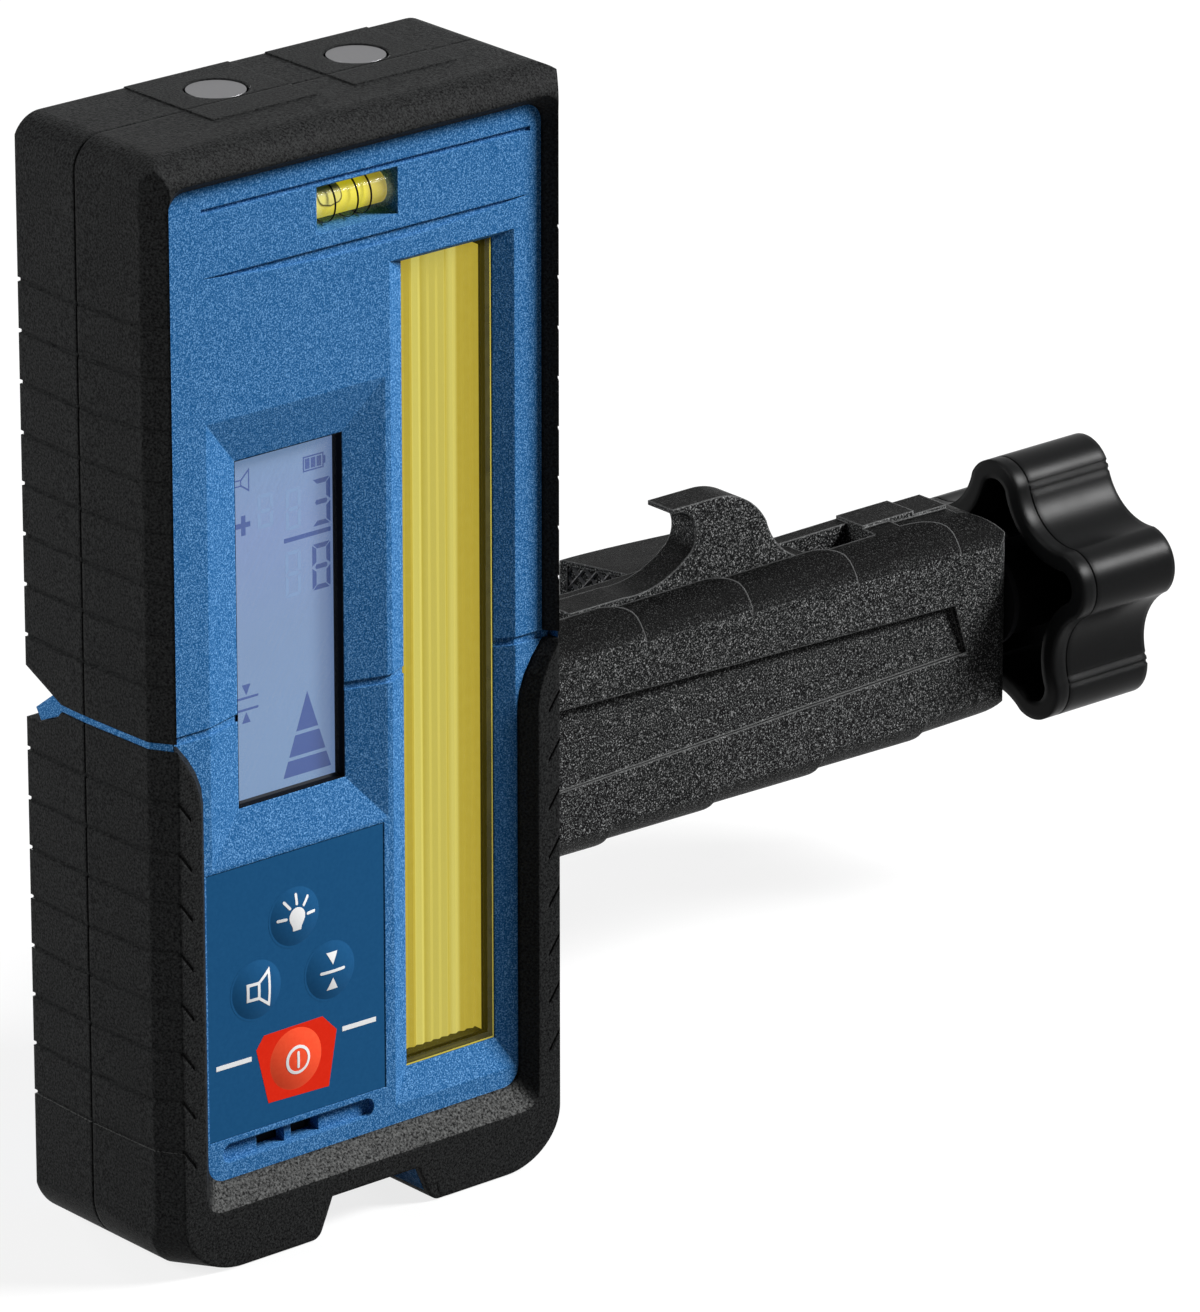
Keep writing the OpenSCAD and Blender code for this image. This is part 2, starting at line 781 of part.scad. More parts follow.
// V notch in both rear edges at the centre mark, its lower side stepped for the tooth
module vee_cut() {
    tip = body_d - vee_d;
    for (x = [-body_w / 2 - over, rear_mouth_w / 2])
        across(x, x + body_w / 2 - rear_mouth_w / 2 + over)
            polygon([
                [depth(tip), mark_z + mark_line / 2], [depth(body_d + over), mark_z + vee_h],
                [depth(body_d + over), mark_z - vee_low], [depth(tip + tooth_l), mark_z - vee_low],
                [depth(tip + mark_line), mark_z - vee_low / 2], [depth(tip), mark_z - mark_line / 2]
            ]);
}

// Blue tooth in the V notch, carried by the belt
module vee_tooth() {
    tip = body_d - vee_d;
    tooth_w = rubber_t * 0.8;
    half_line = mark_line / 2;
    for (side = [-1, 1]) {
        x = side * (half_w(rear_out) - rubber_t);
        across(min(x, x + side * tooth_w), max(x, x + side * tooth_w))
            polygon([
                [depth(tip - mark_line), mark_z - half_line], [depth(tip - mark_line), mark_z + half_line],
                [depth(tip + move_gap), mark_z + half_line],
                [depth(tip + tooth_l / 2), mark_z + vee_h * tooth_l / 2 / (vee_d + over) - move_gap],
                [depth(tip + tooth_l + mark_line), mark_z - vee_low / 2],
                [depth(tip + tooth_l), mark_z - vee_low + fit_gap],
                [depth(tip + mark_line + move_gap), mark_z - vee_low / 2 + fit_gap],
                [depth(tip + move_gap), mark_z - half_line]
            ]);
    }
}

// Narrowing hole with rounded corners between the front and the panel
module mouth(half_back, half_front, low_back, low_front, high_back, high_front) {
    hull() {
        for (x = [-1, 1], z = [0, 1]) {
            back_z = z == 0 ? low_back + mouth_r : high_back - mouth_r;
            front_z = z == 0 ? low_front + mouth_r : high_front - mouth_r;
            translate([x * (half_back - mouth_r), depth(panel_d), back_z]) rotate([90, 0, 0])
                cylinder(h = 0.01, r = mouth_r, $fn = hull_fn);
            translate([x * (half_front - mouth_r), depth(-0.01), front_z]) rotate([90, 0, 0])
                cylinder(h = 0.01, r = mouth_r, $fn = hull_fn);
        }
    }
}

// Curved widening of the lower mouth below the centre mark
module shoulder_cut() {
    low = lower_mouth_w / 2;
    high = upper_mouth_w / 2;
    for (i = [0:shoulder_steps - 1]) hull() {
        slab(panel_d - 0.01, panel_d) shoulder_step(i, low, high);
        slab(-0.02, -0.01) shoulder_step(i, low + lower_flare, high + upper_flare);
    }
}

// One step of that curve, lapping the step below
module shoulder_step(i, low, high) {
    rise = (shoulder_high - shoulder_low) / shoulder_steps;
    share = [for (end = [i, i + 1]) pow(end / shoulder_steps, shoulder_power)];
    half = [for (part = share) low + (high - low) * part];
    z = shoulder_low + i * rise;
    side = concat(
        [[half[0] - 2 * shoulder_lap, z - shoulder_lap], [half[0], z], [half[1], z + rise]],
        i == shoulder_steps - 1 ? [[half[1], mark_z]] : []
    );
    polygon(concat(side, [for (j = [len(side) - 1:-1:0]) [-side[j][0], side[j][1]]]));
}

// Grooves around the sides, counted from the centre mark
module side_grooves(first, step, strip_x) {
    for (i = [0:groove_count - 1])
        translate([0, 0, mark_z + first + i * step - groove_w / 2]) linear_extrude(groove_w) difference() {
            plan_outline(-over);
            plan_outline(groove_t);
            translate([-strip_x, depth(-2 * over)]) square([2 * strip_x, body_d]);
            translate([-rear_mouth_w / 2, depth(seam_depth)]) square([rear_mouth_w, body_d]);
        }
}

// Slanted ends of the grooves on the lower front strips
module strip_ticks() {
    outer = half_w(bevel_d) - bevel_w;
    for (side = [-1, 1], i = [0:groove_count - 1]) {
        z = mark_z - groove_down - i * groove_pitch;
        slab(-over, groove_t)
            polygon([
                [side * outer, z + groove_w / 2],
                [side * (outer - tick_run), z - tick_drop + groove_w / 2],
                [side * (outer - tick_run), z - tick_drop - groove_w / 2],
                [side * outer, z - groove_w / 2]
            ]);
    }
}

// Fine line where the front and rear covers meet
module seam_cut() {
    difference() {
        block(-body_w, body_w, seam_depth - seam_line, seam_depth + over, -over, body_h + over);
        body_form(seam_line);
    }
}

// Raised pads around the magnets
module magnet_pads(d0, d1) {
    for (x = magnet_x) block(x - pad_w / 2, x + pad_w / 2, d0, d1, cap_z - 2 * pad_rise, body_h);
}

module magnet_holes() {
    for (x = magnet_x)
        translate([x, depth(magnet_depth), body_h - magnet_t - pad_rise / 2])
            cylinder(h = magnet_t + 2 * over, r = magnet_r + magnet_gap);
}

module front_cover_upper() {
    color(rubber) difference() {
        union() {
            difference() {
                form_part(0, 0, seam_depth, mark_z + mark_line / 2, body_h);
                body_form(rubber_t);
            }
            magnet_pads(pad_depth, seam_depth);
        }
        mouth(upper_mouth_w / 2, upper_mouth_w / 2 + upper_flare, mark_z - 3 * mouth_r,
            mark_z - 3 * mouth_r, panel_high, panel_high + upper_flare);
        side_grooves(groove_up, groove_pitch, upper_mouth_w / 2);
        seam_cut();
    }
}

module front_cover_lower() {
    color(rubber) difference() {
        intersection() {
            form_part(0, 0, seam_depth, 0, mark_z - mark_line / 2);
            bevel_room();
            mirror([1, 0, 0]) bevel_room();
        }
        body_form(rubber_t);
        mouth(lower_mouth_w / 2, lower_mouth_w / 2 + lower_flare, panel_z, panel_z - sill_flare,
            shoulder_low + 2 * mouth_r, shoulder_low + 2 * mouth_r);
        shoulder_cut();
        side_grooves(-groove_down, -groove_pitch, half_w(bevel_d) - bevel_w);
        strip_ticks();
        base_notch();
        seam_cut();
    }
}

// Opening in the rear covers
module rear_mouth() {
    low = 2 * foot_r - rubber_t;
    slab(rear_out - over, body_d + over)
        round_rect(-rear_mouth_w / 2, low / 2, rear_mouth_w / 2, panel_high, mouth_r, mouth_r);
}

module rear_cover_upper() {
    color(rubber) difference() {
        union() {
            difference() {
                form_part(0, seam_depth, body_d, mark_z + mark_line / 2, body_h);
                body_form(rubber_t);
            }
            magnet_pads(seam_depth, body_d);
        }
        rear_mouth();
        side_grooves(groove_up, groove_pitch, upper_mouth_w / 2);
        magnet_holes();
        vee_cut();
    }
}

module rear_cover_lower() {
    color(rubber) difference() {
        form_part(0, seam_depth, body_d, 0, mark_z - mark_line / 2);
        body_form(rubber_t);
        rear_mouth();
        side_grooves(-groove_down, -groove_pitch, upper_mouth_w / 2);
        base_notch();
        vee_cut();
    }
}

// Pocket whose walls lean in from a wide mouth to a narrow floor
module sloped_pocket(mouth_x, mouth_z, floor_x, floor_z, d0, d1) {
    intersection() {
        translate([0, 0, mouth_z[0] - over]) linear_extrude(mouth_z[1] - mouth_z[0] + 2 * over)
            polygon([
                [mouth_x[0], depth(d0 - over)], [mouth_x[1], depth(d0 - over)], [mouth_x[1], depth(d0)],
                [floor_x[1], depth(d1)], [floor_x[0], depth(d1)], [mouth_x[0], depth(d0)]
            ]);
        across(mouth_x[0] - over, mouth_x[1] + over)
            polygon([
                [depth(d0 - over), mouth_z[0]], [depth(d0), mouth_z[0]], [depth(d1), floor_z[0]],
                [depth(d1), floor_z[1]], [depth(d0), mouth_z[1]], [depth(d0 - over), mouth_z[1]]
            ]);
    }
}

module display_cut() {
    x = [lcd_x - lcd_w / 2, lcd_x + lcd_w / 2];
    z = [lcd_z - lcd_h / 2, lcd_z + lcd_h / 2];
    wide_x = [x[0] - lcd_slope_x, x[1] + lcd_slope_x];
    wide_z = [z[0] - lcd_slope_z, z[1] + lcd_slope_z];
    sloped_pocket(wide_x, wide_z, x, z, panel_d, panel_d + lcd_sink);
    block(x[0], x[1], panel_d, panel_in + over, z[0], z[1]);
}

module detector_cut() {
    x = [lens_left, lens_right];
    z = [lens_low, lens_high];
    wide_x = [x[0] - lens_slope_left, x[1] + lens_slope_right];
    wide_z = [z[0] - lens_slope_low, z[1] + lens_slope_top];
    sloped_pocket(wide_x, wide_z, x, z, panel_d, panel_d + lens_sink);
    block(x[0], x[1], panel_d, panel_in + over, z[0], z[1]);
}

module keypad_cut() {
    block(pad_left, pad_right, panel_d - over, overlay_d + overlay_t, pad_low, pad_high);
    for (at = small_keys) pin_y(at, key_r + run_gap, panel_d, panel_in + over);
    pin_y(power_at, power_r + run_gap, panel_d, panel_in + over);
}

module sound_cut() {
    slab(panel_d - over, panel_d + slot_t)
        round_rect(slot_x - slot_l / 2, slot_z - slot_h / 2, slot_x + slot_l / 2, slot_z + slot_h / 2,
            slot_h / 2 - 0.01, slot_h / 2 - 0.01);
    for (side = [-1, 1]) {
        x = slot_x - sound_bar + side * (sound_bar + sound_w) / 2;
        block(x - sound_w / 2, x + sound_w / 2, panel_d, panel_in + over, slot_z - slot_h / 2,
            slot_z + slot_h / 2);
    }
}

module vial_cut() {
    block(-vial_window_w / 2, vial_window_w / 2, panel_d - over, vial_d + vial_r + fit_gap,
        vial_z - vial_window_h / 2, vial_z + vial_window_h / 2);
}

// Ring of the seal between the shells
module seal_ring(side) {
    inset = rubber_t + shell_t / 2;
    difference() {
        form_part(inset - side / 2, seam_depth - side, seam_depth, 0, body_h);
        body_form(inset + side / 2);
    }
}

// Fine line and sweeping crease across the brow of the panel
module brow_cuts() {
    slab(panel_d - over, panel_d + line_t)
        translate([crease_left, vial_z + vial_window_h / 2 + 0.3])
            square([crease_right - crease_left, line_h]);
    middle = (crease_left + crease_right) / 2;
    half = (crease_right - crease_left) / 2;
    upper_r = (half * half + crease_h * crease_h) / (2 * crease_h);
    slab(panel_d - over, panel_d + line_t) intersection() {
        translate([crease_left, crease_z - crease_h]) square([2 * half, crease_h]);
        translate([middle, crease_z - crease_h + upper_r]) circle(upper_r);
    }
}

// Shallow groove across the panel at the centre mark, following the frames
module mark_line_cut() {
    intersection() {
        block(-upper_mouth_w / 2, upper_mouth_w / 2, 0, panel_in + over, mark_z - mark_line / 2,
            mark_z + mark_line / 2);
        translate([0, mark_groove, 0]) {
            block(-body_w, body_w, -over, panel_d, 0, body_h);
            display_cut();
            detector_cut();
        }
    }
}

module front_housing() {
    color(blue) difference() {
        union() {
            difference() {
                form_part(rubber_t, 0, seam_depth, 0, body_h);
                block(-cavity_x, cavity_x, panel_in, seam_depth + over, cavity_low, cavity_high);
            }
            mark_belt(0, seam_depth);
            for (at = screw_points) pin_y(at, column_r, panel_in - over, seam_depth);
            for (at = board_points) pin_y(at, post_r, panel_in - over, board_depth);
            block(-vial_window_w / 2 - cradle_wall, vial_window_w / 2 + cradle_wall, panel_in - over,
                vial_d + vial_r + cradle_wall, vial_z - vial_window_h / 2 - cradle_wall,
                vial_z + vial_window_h / 2 + cradle_wall);
        }
        display_cut();
        detector_cut();
        keypad_cut();
        sound_cut();
        vial_cut();
        brow_cuts();
        mark_line_cut();
        for (at = screw_points) pin_y(at, screw_r + run_gap, screw_tip - over, seam_depth + over);
        for (at = board_points)
            pin_y(at, board_screw_r + run_gap, board_depth - board_screw_l, board_depth + over);
        seal_ring(shell_t / 2);
        base_notch();
    }
}

// Hollow for the door's hinge
module hinge_cut() {
    block(-hinge_x, hinge_x, hinge_d, rear_out + over, hinge_low, door_low + over);
}

// Bay for the cells, with its rim and the door opening
module bay_cut() {
    block(-bay_x, bay_x, bay_d, rear_out + over, bay_low, bay_high);
    block(-door_x - move_gap, door_x + move_gap, rim_d, rear_out + over, door_low - swing_gap,
        door_high + move_gap);
    hinge_cut();
    pin_x(pin_d, pin_z, pin_r + fit_gap / 5, -pin_l / 2, pin_l / 2);
}

// Middle knuckle that carries the hinge pin
module housing_knuckle() {
    half = hinge_x - knuckle_l - move_gap;
    difference() {
        union() {
            pin_x(pin_d, pin_z, knuckle_r, -half, half);
            block(-half, half, hinge_d - over, pin_d, pin_z - knuckle_r, pin_z + knuckle_r);
        }
        pin_x(pin_d, pin_z, pin_r + fit_gap / 5, -half - over, half + over);
    }
}

module rear_housing() {
    pegs = [[-peg_pitch / 2, clamp_z], [peg_pitch / 2, clamp_z]];
    color(blue) {
        difference() {
            union() {
                difference() {
                    form_part(rubber_t, seam_depth, body_d, 0, body_h);
                    block(-cavity_x, cavity_x, seam_depth - over, rear_in, cavity_low, cavity_high);
                }
                mark_belt(seam_depth, body_d);
                block(-bay_x - rim_w, bay_x + rim_w, bay_d - bay_wall, rear_out, hinge_low - shell_t,
                    bay_high + rim_w);
                pin_y([0, clamp_z], seat_r, rear_out - insert_l - 2 * shell_t, rear_out);
                for (at = screw_points) pin_y(at, column_r + 0.6, seam_depth, rear_out);
            }
            bay_cut();
            vee_cut();
            base_notch();
            magnet_holes();
            pin_y([0, clamp_z], insert_r, rear_out - insert_l, rear_out + over);
            pin_y([0, clamp_z], mount_r + 2 * run_gap, mount_tip - shell_t, rear_out);
            for (at = pegs) pin_y(at, peg_r + fit_gap, rear_out - shell_t - fit_gap, rear_out + over);
            for (at = screw_points) {
                pin_y(at, screw_r + run_gap, seam_depth - over, rear_out);
                pin_y(at, head_r + fit_gap, screw_seat, rear_out + over);
            }
        }
        housing_knuckle();
        vee_tooth();
    }
}

module display_window() {
    color(pale)
        block(lcd_x - lcd_w / 2 - pane_lap, lcd_x + lcd_w / 2 + pane_lap, pane_d, pane_d + pane_t,
            lcd_z - lcd_h / 2 - pane_lap, lcd_z + lcd_h / 2 + pane_lap);
}

module display_module() {
    color(pale)
        block(lcd_x - lcd_w / 2 - pane_lap, lcd_x + lcd_w / 2 + pane_lap, glass_d, glass_d + glass_t,
            lcd_z - lcd_h / 2 - 2 * pane_lap, lcd_z + lcd_h / 2 + 2 * pane_lap);
}

module backlight() {
    color("white")
        block(lcd_x - lcd_w / 2 - pane_lap, lcd_x + lcd_w / 2 + pane_lap, light_d, light_d + light_t,
            lcd_z - lcd_h / 2 - pane_lap, lcd_z + lcd_h / 2 + pane_lap);
}

module detector_window() {
    color(yellow) difference() {
        union() {
            block(lens_left + fit_gap, lens_right - fit_gap, tray_d, sensor_depth, lens_low + fit_gap,
                lens_high - fit_gap);
            block(lens_left - tray_lap, lens_right + tray_lap, panel_in, panel_in + flange_t,
                lens_low - tray_lap, lens_high + tray_lap);
        }
        block(lens_left + fit_gap + tray_t, lens_right - fit_gap - tray_t, tray_d + tray_t,
            sensor_depth + over, lens_low + fit_gap + tray_t, lens_high - fit_gap - tray_t);
    }
}

module detector_lens() {
    wide = lens_w - 2 * tray_t - 4 * fit_gap;
    pitch = wide / strip_ribs;
    back = strip_d + strip_t;
    color(yellow) translate([0, 0, lens_low + tray_t + 2 * fit_gap])
        linear_extrude(lens_h - 2 * tray_t - 4 * fit_gap)
            polygon(concat(
                [[lens_x + wide / 2, depth(back)], [lens_x - wide / 2, depth(back)]],
                [
                    for (i = [0:strip_ribs - 1], end = [0, 1])
                        [lens_x - wide / 2 + (i + end / 2) * pitch, depth(strip_d - end * rib_t)]
                ],
                [[lens_x + wide / 2, depth(strip_d)]]
            ));
}

module detector_board() {
    color(green)
        block(lens_left - tray_lap, lens_right + tray_lap, sensor_depth, sensor_depth + board_t,
            lens_low - tray_lap, lens_high + tray_lap);
}

module photodiodes() {
    pitch = (lens_h - 2 * tray_t) / diode_count;
    color(black) for (i = [0:diode_count - 1]) {
        z = lens_low + tray_t + (i + 0.5) * pitch;
        block(lens_x - diode_s / 2, lens_x + diode_s / 2, sensor_depth - diode_t, sensor_depth,
            z - diode_s / 2, z + diode_s / 2);
    }
}

module level_vial() {
    color([0.9, 0.9, 0.7]) difference() {
        pin_x(vial_d, vial_z, vial_r, -vial_l / 2, vial_l / 2);
        pin_x(vial_d, vial_z, vial_r - vial_wall, vial_wall - vial_l / 2, vial_l / 2 - vial_wall);
    }
}

module vial_spirit() {
    inner = vial_r - vial_wall - run_gap;
    half = vial_l / 2 - vial_wall - run_gap;
    bubble_z = vial_z + inner - bubble_r;
    ends = [bubble_x + bubble_r - bubble_l / 2, bubble_x + bubble_l / 2 - bubble_r];
    color(yellow) difference() {
        pin_x(vial_d, vial_z, inner, -half, half);
        pin_x(vial_d, bubble_z, bubble_r, ends[0], ends[1]);
        for (x = ends) translate([x, depth(vial_d), bubble_z]) sphere(bubble_r);
    }
}

module keypad_overlay() {
    color(deep_blue) difference() {
        block(pad_left + fit_gap, pad_right - fit_gap, overlay_d, overlay_d + overlay_t, pad_low + fit_gap,
            pad_high - fit_gap);
        for (at = small_keys) pin_y(at, key_r + run_gap, panel_d - over, panel_in);
        pin_y(power_at, power_r + run_gap, panel_d - over, panel_in);
    }
}

// Domed key with a flange behind the panel
module push_key(at, r) {
    dome_r = (r * r + key_rise * key_rise) / (2 * key_rise);
    translate([at[0], depth(overlay_d), at[1]]) rotate([90, 0, 0]) intersection() {
        union() {
            translate([0, 0, overlay_d - flange_d - key_flange_t]) {
                cylinder(h = flange_d + key_flange_t, r = r);
                cylinder(h = key_flange_t, r = r + key_flange_w);
            }
            translate([0, 0, overlay_d - key_end]) cylinder(h = key_end, r = plunger_r);
        }
        translate([0, 0, key_rise - dome_r]) sphere(dome_r);
    }
}

module light_key() {
    color(deep_blue) push_key(light_at, key_r);
}

module volume_key() {
    color(deep_blue) push_key(volume_at, key_r);
}

module precision_key() {
    color(deep_blue) push_key(precision_at, key_r);
}

module power_key() {
    color(red) push_key(power_at, power_r);
}

module key_switches() {
    color(black) for (at = concat(small_keys, [power_at])) {
        block(at[0] - switch_s / 2, at[0] + switch_s / 2, plunger_tip + plunger_l, board_depth,
            at[1] - switch_s / 2, at[1] + switch_s / 2);
        pin_y(at, plunger_r, plunger_tip, plunger_tip + 2 * plunger_l);
    }
}

module main_board() {
    color(green) difference() {
        block(board_left, board_right, board_depth, board_depth + board_t, board_low, board_high);
        for (at = board_points)
            pin_y(at, board_screw_r + fit_gap, board_depth - over, board_depth + board_t + over);
    }
}

module board_screws() {
    seat = board_depth + board_t;
    color(steel) for (at = board_points) {
        pin_y(at, board_screw_r, board_depth - board_screw_l + fit_gap, seat + board_head_t / 2);
        pin_y(at, 2 * board_screw_r, seat, seat + board_head_t);
    }
}

module buzzer() {
    color(black) difference() {
        pin_y([slot_x - sound_bar, slot_z], buzzer_r, panel_in, panel_in + buzzer_t);
        pin_y([slot_x - sound_bar, slot_z], buzzer_r / 4, panel_in - over, panel_in + buzzer_t / 2);
    }
}

module magnets() {
    color(steel) for (x = magnet_x)
        translate([x, depth(magnet_depth), body_h - magnet_t - pad_rise / 2])
            cylinder(h = magnet_t, r = magnet_r);
}

module housing_seal() {
    color(rubber) seal_ring(shell_t / 2);
}

module housing_screws() {
    color(steel) for (at = screw_points) {
        pin_y(at, screw_r, screw_tip, screw_seat + head_t / 2);
        pin_y(at, head_r, screw_seat, screw_seat + head_t);
    }
}

module batteries() {
    color(steel) for (side = [-1, 1])
        translate([side * cell_pitch / 2, depth(cell_d), side < 0 ? cell_z : cell_z + nub_t]) {
            cylinder(h = cell_l, r = cell_r);
            translate([0, 0, side < 0 ? cell_l / 2 : -nub_t]) cylinder(h = cell_l / 2 + nub_t, r = nub_r);
        }
}

module battery_contacts() {
    hump_r = nub_r;
    gap = run_gap;
    color(steel) {
        for (side = [-1, 1]) {
            x = side * cell_pitch / 2;
            block(x - nub_r - 1, x + nub_r + 1, cell_d - nub_r, rim_d - over, bay_low,
                bay_low + contact_plate);
            translate([x, depth(cell_d), bay_low]) cylinder(h = contact_t + contact_plate - gap, r = hump_r);
            translate([x, depth(cell_d), bay_high - contact_t - contact_plate + gap])
                cylinder(h = contact_t + contact_plate - gap, r = hump_r);
        }
        block(-cell_pitch / 2 - nub_r, cell_pitch / 2 + nub_r, cell_d - nub_r, cell_d + nub_r,
            bay_high - contact_plate, bay_high);
    }
}

module battery_door() {
    color(blue) difference() {
        union() {
            block(-door_x, door_x, door_in, rear_out, door_low, door_high);
            for (side = [-1, 1]) {
                x0 = side < 0 ? -hinge_x + move_gap : hinge_x - knuckle_l;
                x1 = x0 + knuckle_l - move_gap;
                pin_x(pin_d, pin_z, knuckle_r, x0, x1);
                block(x0, x1, door_in, rear_out, pin_z, door_low + over);
            }
        }
        pin_x(pin_d, pin_z, pin_r + run_gap, -door_x, door_x);
        pin_x(rear_out + scoop_r - 1.4, door_high - scoop_r + over, scoop_r, -scoop_l / 2, scoop_l / 2);
    }
}

module door_seal() {
    outer_x = door_x - seal_inset;
    low = door_low + seal_inset;
    high = door_high - seal_inset;
    wide = rim_w - 2 * seal_inset - 0.4;
    color(rubber) slab(rim_d, rim_d + door_seal_t) difference() {
        round_rect(-outer_x, low, outer_x, high, least_r, least_r);
        translate([wide - outer_x, low + wide]) square([2 * (outer_x - wide), high - low - 2 * wide]);
    }
}

module hinge_pin() {
    color(steel) pin_x(pin_d, pin_z, pin_r, fit_gap - pin_l / 2, pin_l / 2 - fit_gap);
}

module thread_insert() {
    color(brass) difference() {
        pin_y([0, clamp_z], insert_r - fit_gap / 5, rear_out - insert_l + fit_gap / 5, rear_out);
        pin_y([0, clamp_z], mount_r + run_gap, rear_out - insert_l - over, rear_out + over);
    }
}

// Bar section with a rounded upper front edge, from far below up to a height
module bar_outline(high) {
    deep = 4 * bar_up;
    middle = bar_front + bar_r - bar_edge;
    translate([depth(middle), high - deep]) square([bar_back - middle, deep]);
    translate([depth(bar_front), high - deep]) square([bar_d, deep - bar_r]);
    translate([depth(middle), high - bar_r]) circle(bar_r);
}

// Edge between two scales seen from above, sweeping left towards the back by a bend
function scale_edge(x, bend) = concat(
    [[x, depth(bar_front)]],
    [for (a = [0:15:90]) [x - bend * (1 - cos(a)), depth(scale_turn + scale_reach * sin(a))]],
    [[x - bend, depth(bar_back)]]
);

function backwards(list) = [for (i = [len(list) - 1:-1:0]) list[i]];

// Upper side of the bar between two edges, falling at an angle from a height at the start
module bar_upper(x0, x1, fall, high, bend0, bend1) {
    intersection() {
        translate([x0, 0, clamp_z]) rotate([0, fall, 0])
            across(-over - bend0, x1 - x0 + over) bar_outline(high);
        translate([0, 0, clamp_z - 2 * bar_down]) linear_extrude(2 * (bar_down + bar_up))
            polygon(concat(scale_edge(x0, bend0), backwards(scale_edge(x1, bend1))));
    }
}

// Upper side of the bar in steps like scales, with plain ends
module bar_side(first, fall, high) {
    tilt = atan(scale_t / scale_pitch);
    start = first - scale_pitch;
    end = start + scale_count * scale_pitch;
    bar_upper(bar_left, start, fall, high + scale_t - (bar_left - bar_ref_x) * tan(fall), 0, scale_bend);
    for (i = [0:scale_count - 1]) {
        x = start + i * scale_pitch;
        level = high - (x - bar_ref_x) * tan(fall);
        bar_upper(x, x + scale_pitch, fall - tilt, level, scale_bend, scale_bend);
    }
    bar_upper(end, bar_right, fall, high - (end - bar_ref_x) * tan(fall), scale_bend, 0);
}

// Square corner less its round, to round off an outline
module corner_round(r) {
    difference() {
        square([r + over, r + over]);
        circle(r);
    }
}

// Rounds of the bar's right end
module bar_end_cut() {
    slab(bar_front - over, bar_back + over) {
        translate([bar_right - bar_end_r, top_at(bar_right) - bar_end_r]) corner_round(bar_end_r);
        translate([bar_right - bar_end_r, base_at(bar_right) + bar_end_r]) mirror([0, 1])
            corner_round(bar_end_r);
    }
    edge = bar_end_r / 2;
    translate([bar_right - edge, depth(bar_front + edge), 0]) linear_extrude(2 * clamp_z) mirror([0, 1])
        corner_round(edge);
}

// Field sunk into the bar's front, deeper along its upper edge
module bar_field() {
    z = clamp_z - field_drop;
    low = z - field_h_left / 2;
    high = z + field_h_left / 2;
    intersection() {
        slab(bar_front - over, bar_front + 2 * field_t)
            polygon([
                [field_left, low], [field_right, z - field_h_right / 2],
                [field_right - field_lean, z + field_h_right / 2], [field_left, high]
            ]);
        across(field_left - over, field_right + over)
            polygon([
                [depth(bar_front - 2 * over), low - over], [depth(bar_front + field_foot_t), low - over],
                [depth(bar_front + field_foot_t), low], [depth(bar_front + field_t), high],
                [depth(bar_front + field_t), high + over], [depth(bar_front - 2 * over), high + over]
            ]);
    }
}

module clamp_bar() {
    pegs = [[-peg_pitch / 2, clamp_z], [peg_pitch / 2, clamp_z]];
    color(black) difference() {
        union() {
            intersection() {
                bar_side(scale_top_x, top_fall, bar_up);
                translate([0, 0, 2 * clamp_z]) mirror([0, 0, 1])
                    bar_side(scale_low_x, base_rise, bar_down);
            }
            block(slot_end, slot_end + block_l, block_d, bar_back, clamp_z, top_at(slot_end) + block_rise);
            block(slot_end, bar_right - over, block_d, bar_back, clamp_z, top_at(slot_end) + block_rise / 4);
            pin_y([0, clamp_z], seat_r, rear_out, bar_front + over);
            for (at = pegs) pin_y(at, peg_r, rear_out - shell_t, bar_front);
        }
        bar_end_cut();
        bar_field();
        block(channel_left, channel_right, channel_d, bar_back + over, clamp_z - channel_down,
            clamp_z + channel_up);
        block(slot_start, slot_end, lip_d, pointer_d + pointer_t + move_gap, clamp_z + channel_up - over,
            clamp_z + 2 * bar_up);
        pin_x(lead_d, clamp_z, lead_r + run_gap, lead_left - fit_gap, bar_right + over);
        pin_y([0, clamp_z], mount_r + move_gap, rear_out - over, bar_back + over);
        for (at = jaw_screw_points)
            pin_y(at, screw_r + run_gap, bar_back - jaw_screw_l - over, bar_back + over);
    }
}

// Jaw block seen from above: a leaning face with a rounded far corner
module jaw_plan(face_x, back_x, front, back) {
    lean = back_x > face_x ? -jaw_lean : jaw_lean;
    nose = back_x > face_x ? jaw_nose_w : -jaw_nose_w;
    polygon([
        [face_x, depth(front)], [face_x + lean, depth(back - jaw_nose_d)],
        [face_x + lean + nose, depth(back)],
        [back_x, depth(back)], [back_x, depth(front)]
    ]);
}

module fixed_jaw() {
    color(black) difference() {
        translate([0, 0, clamp_z - jaw_down]) linear_extrude(jaw_up + jaw_down)
            jaw_plan(fixed_x, fixed_x - fixed_w, bar_back, jaw_back);
        for (at = jaw_screw_points) {
            pin_y(at, screw_r + run_gap, bar_back - over, jaw_back);
            pin_y(at, head_r + fit_gap, jaw_back - 2 * head_t, jaw_back + over);
        }
    }
}

module jaw_screws() {
    seat = jaw_back - 2 * head_t;
    color(steel) for (at = jaw_screw_points) {
        pin_y(at, screw_r, bar_back - jaw_screw_l, seat + head_t / 2);
        pin_y(at, head_r, seat, seat + head_t);
    }
}

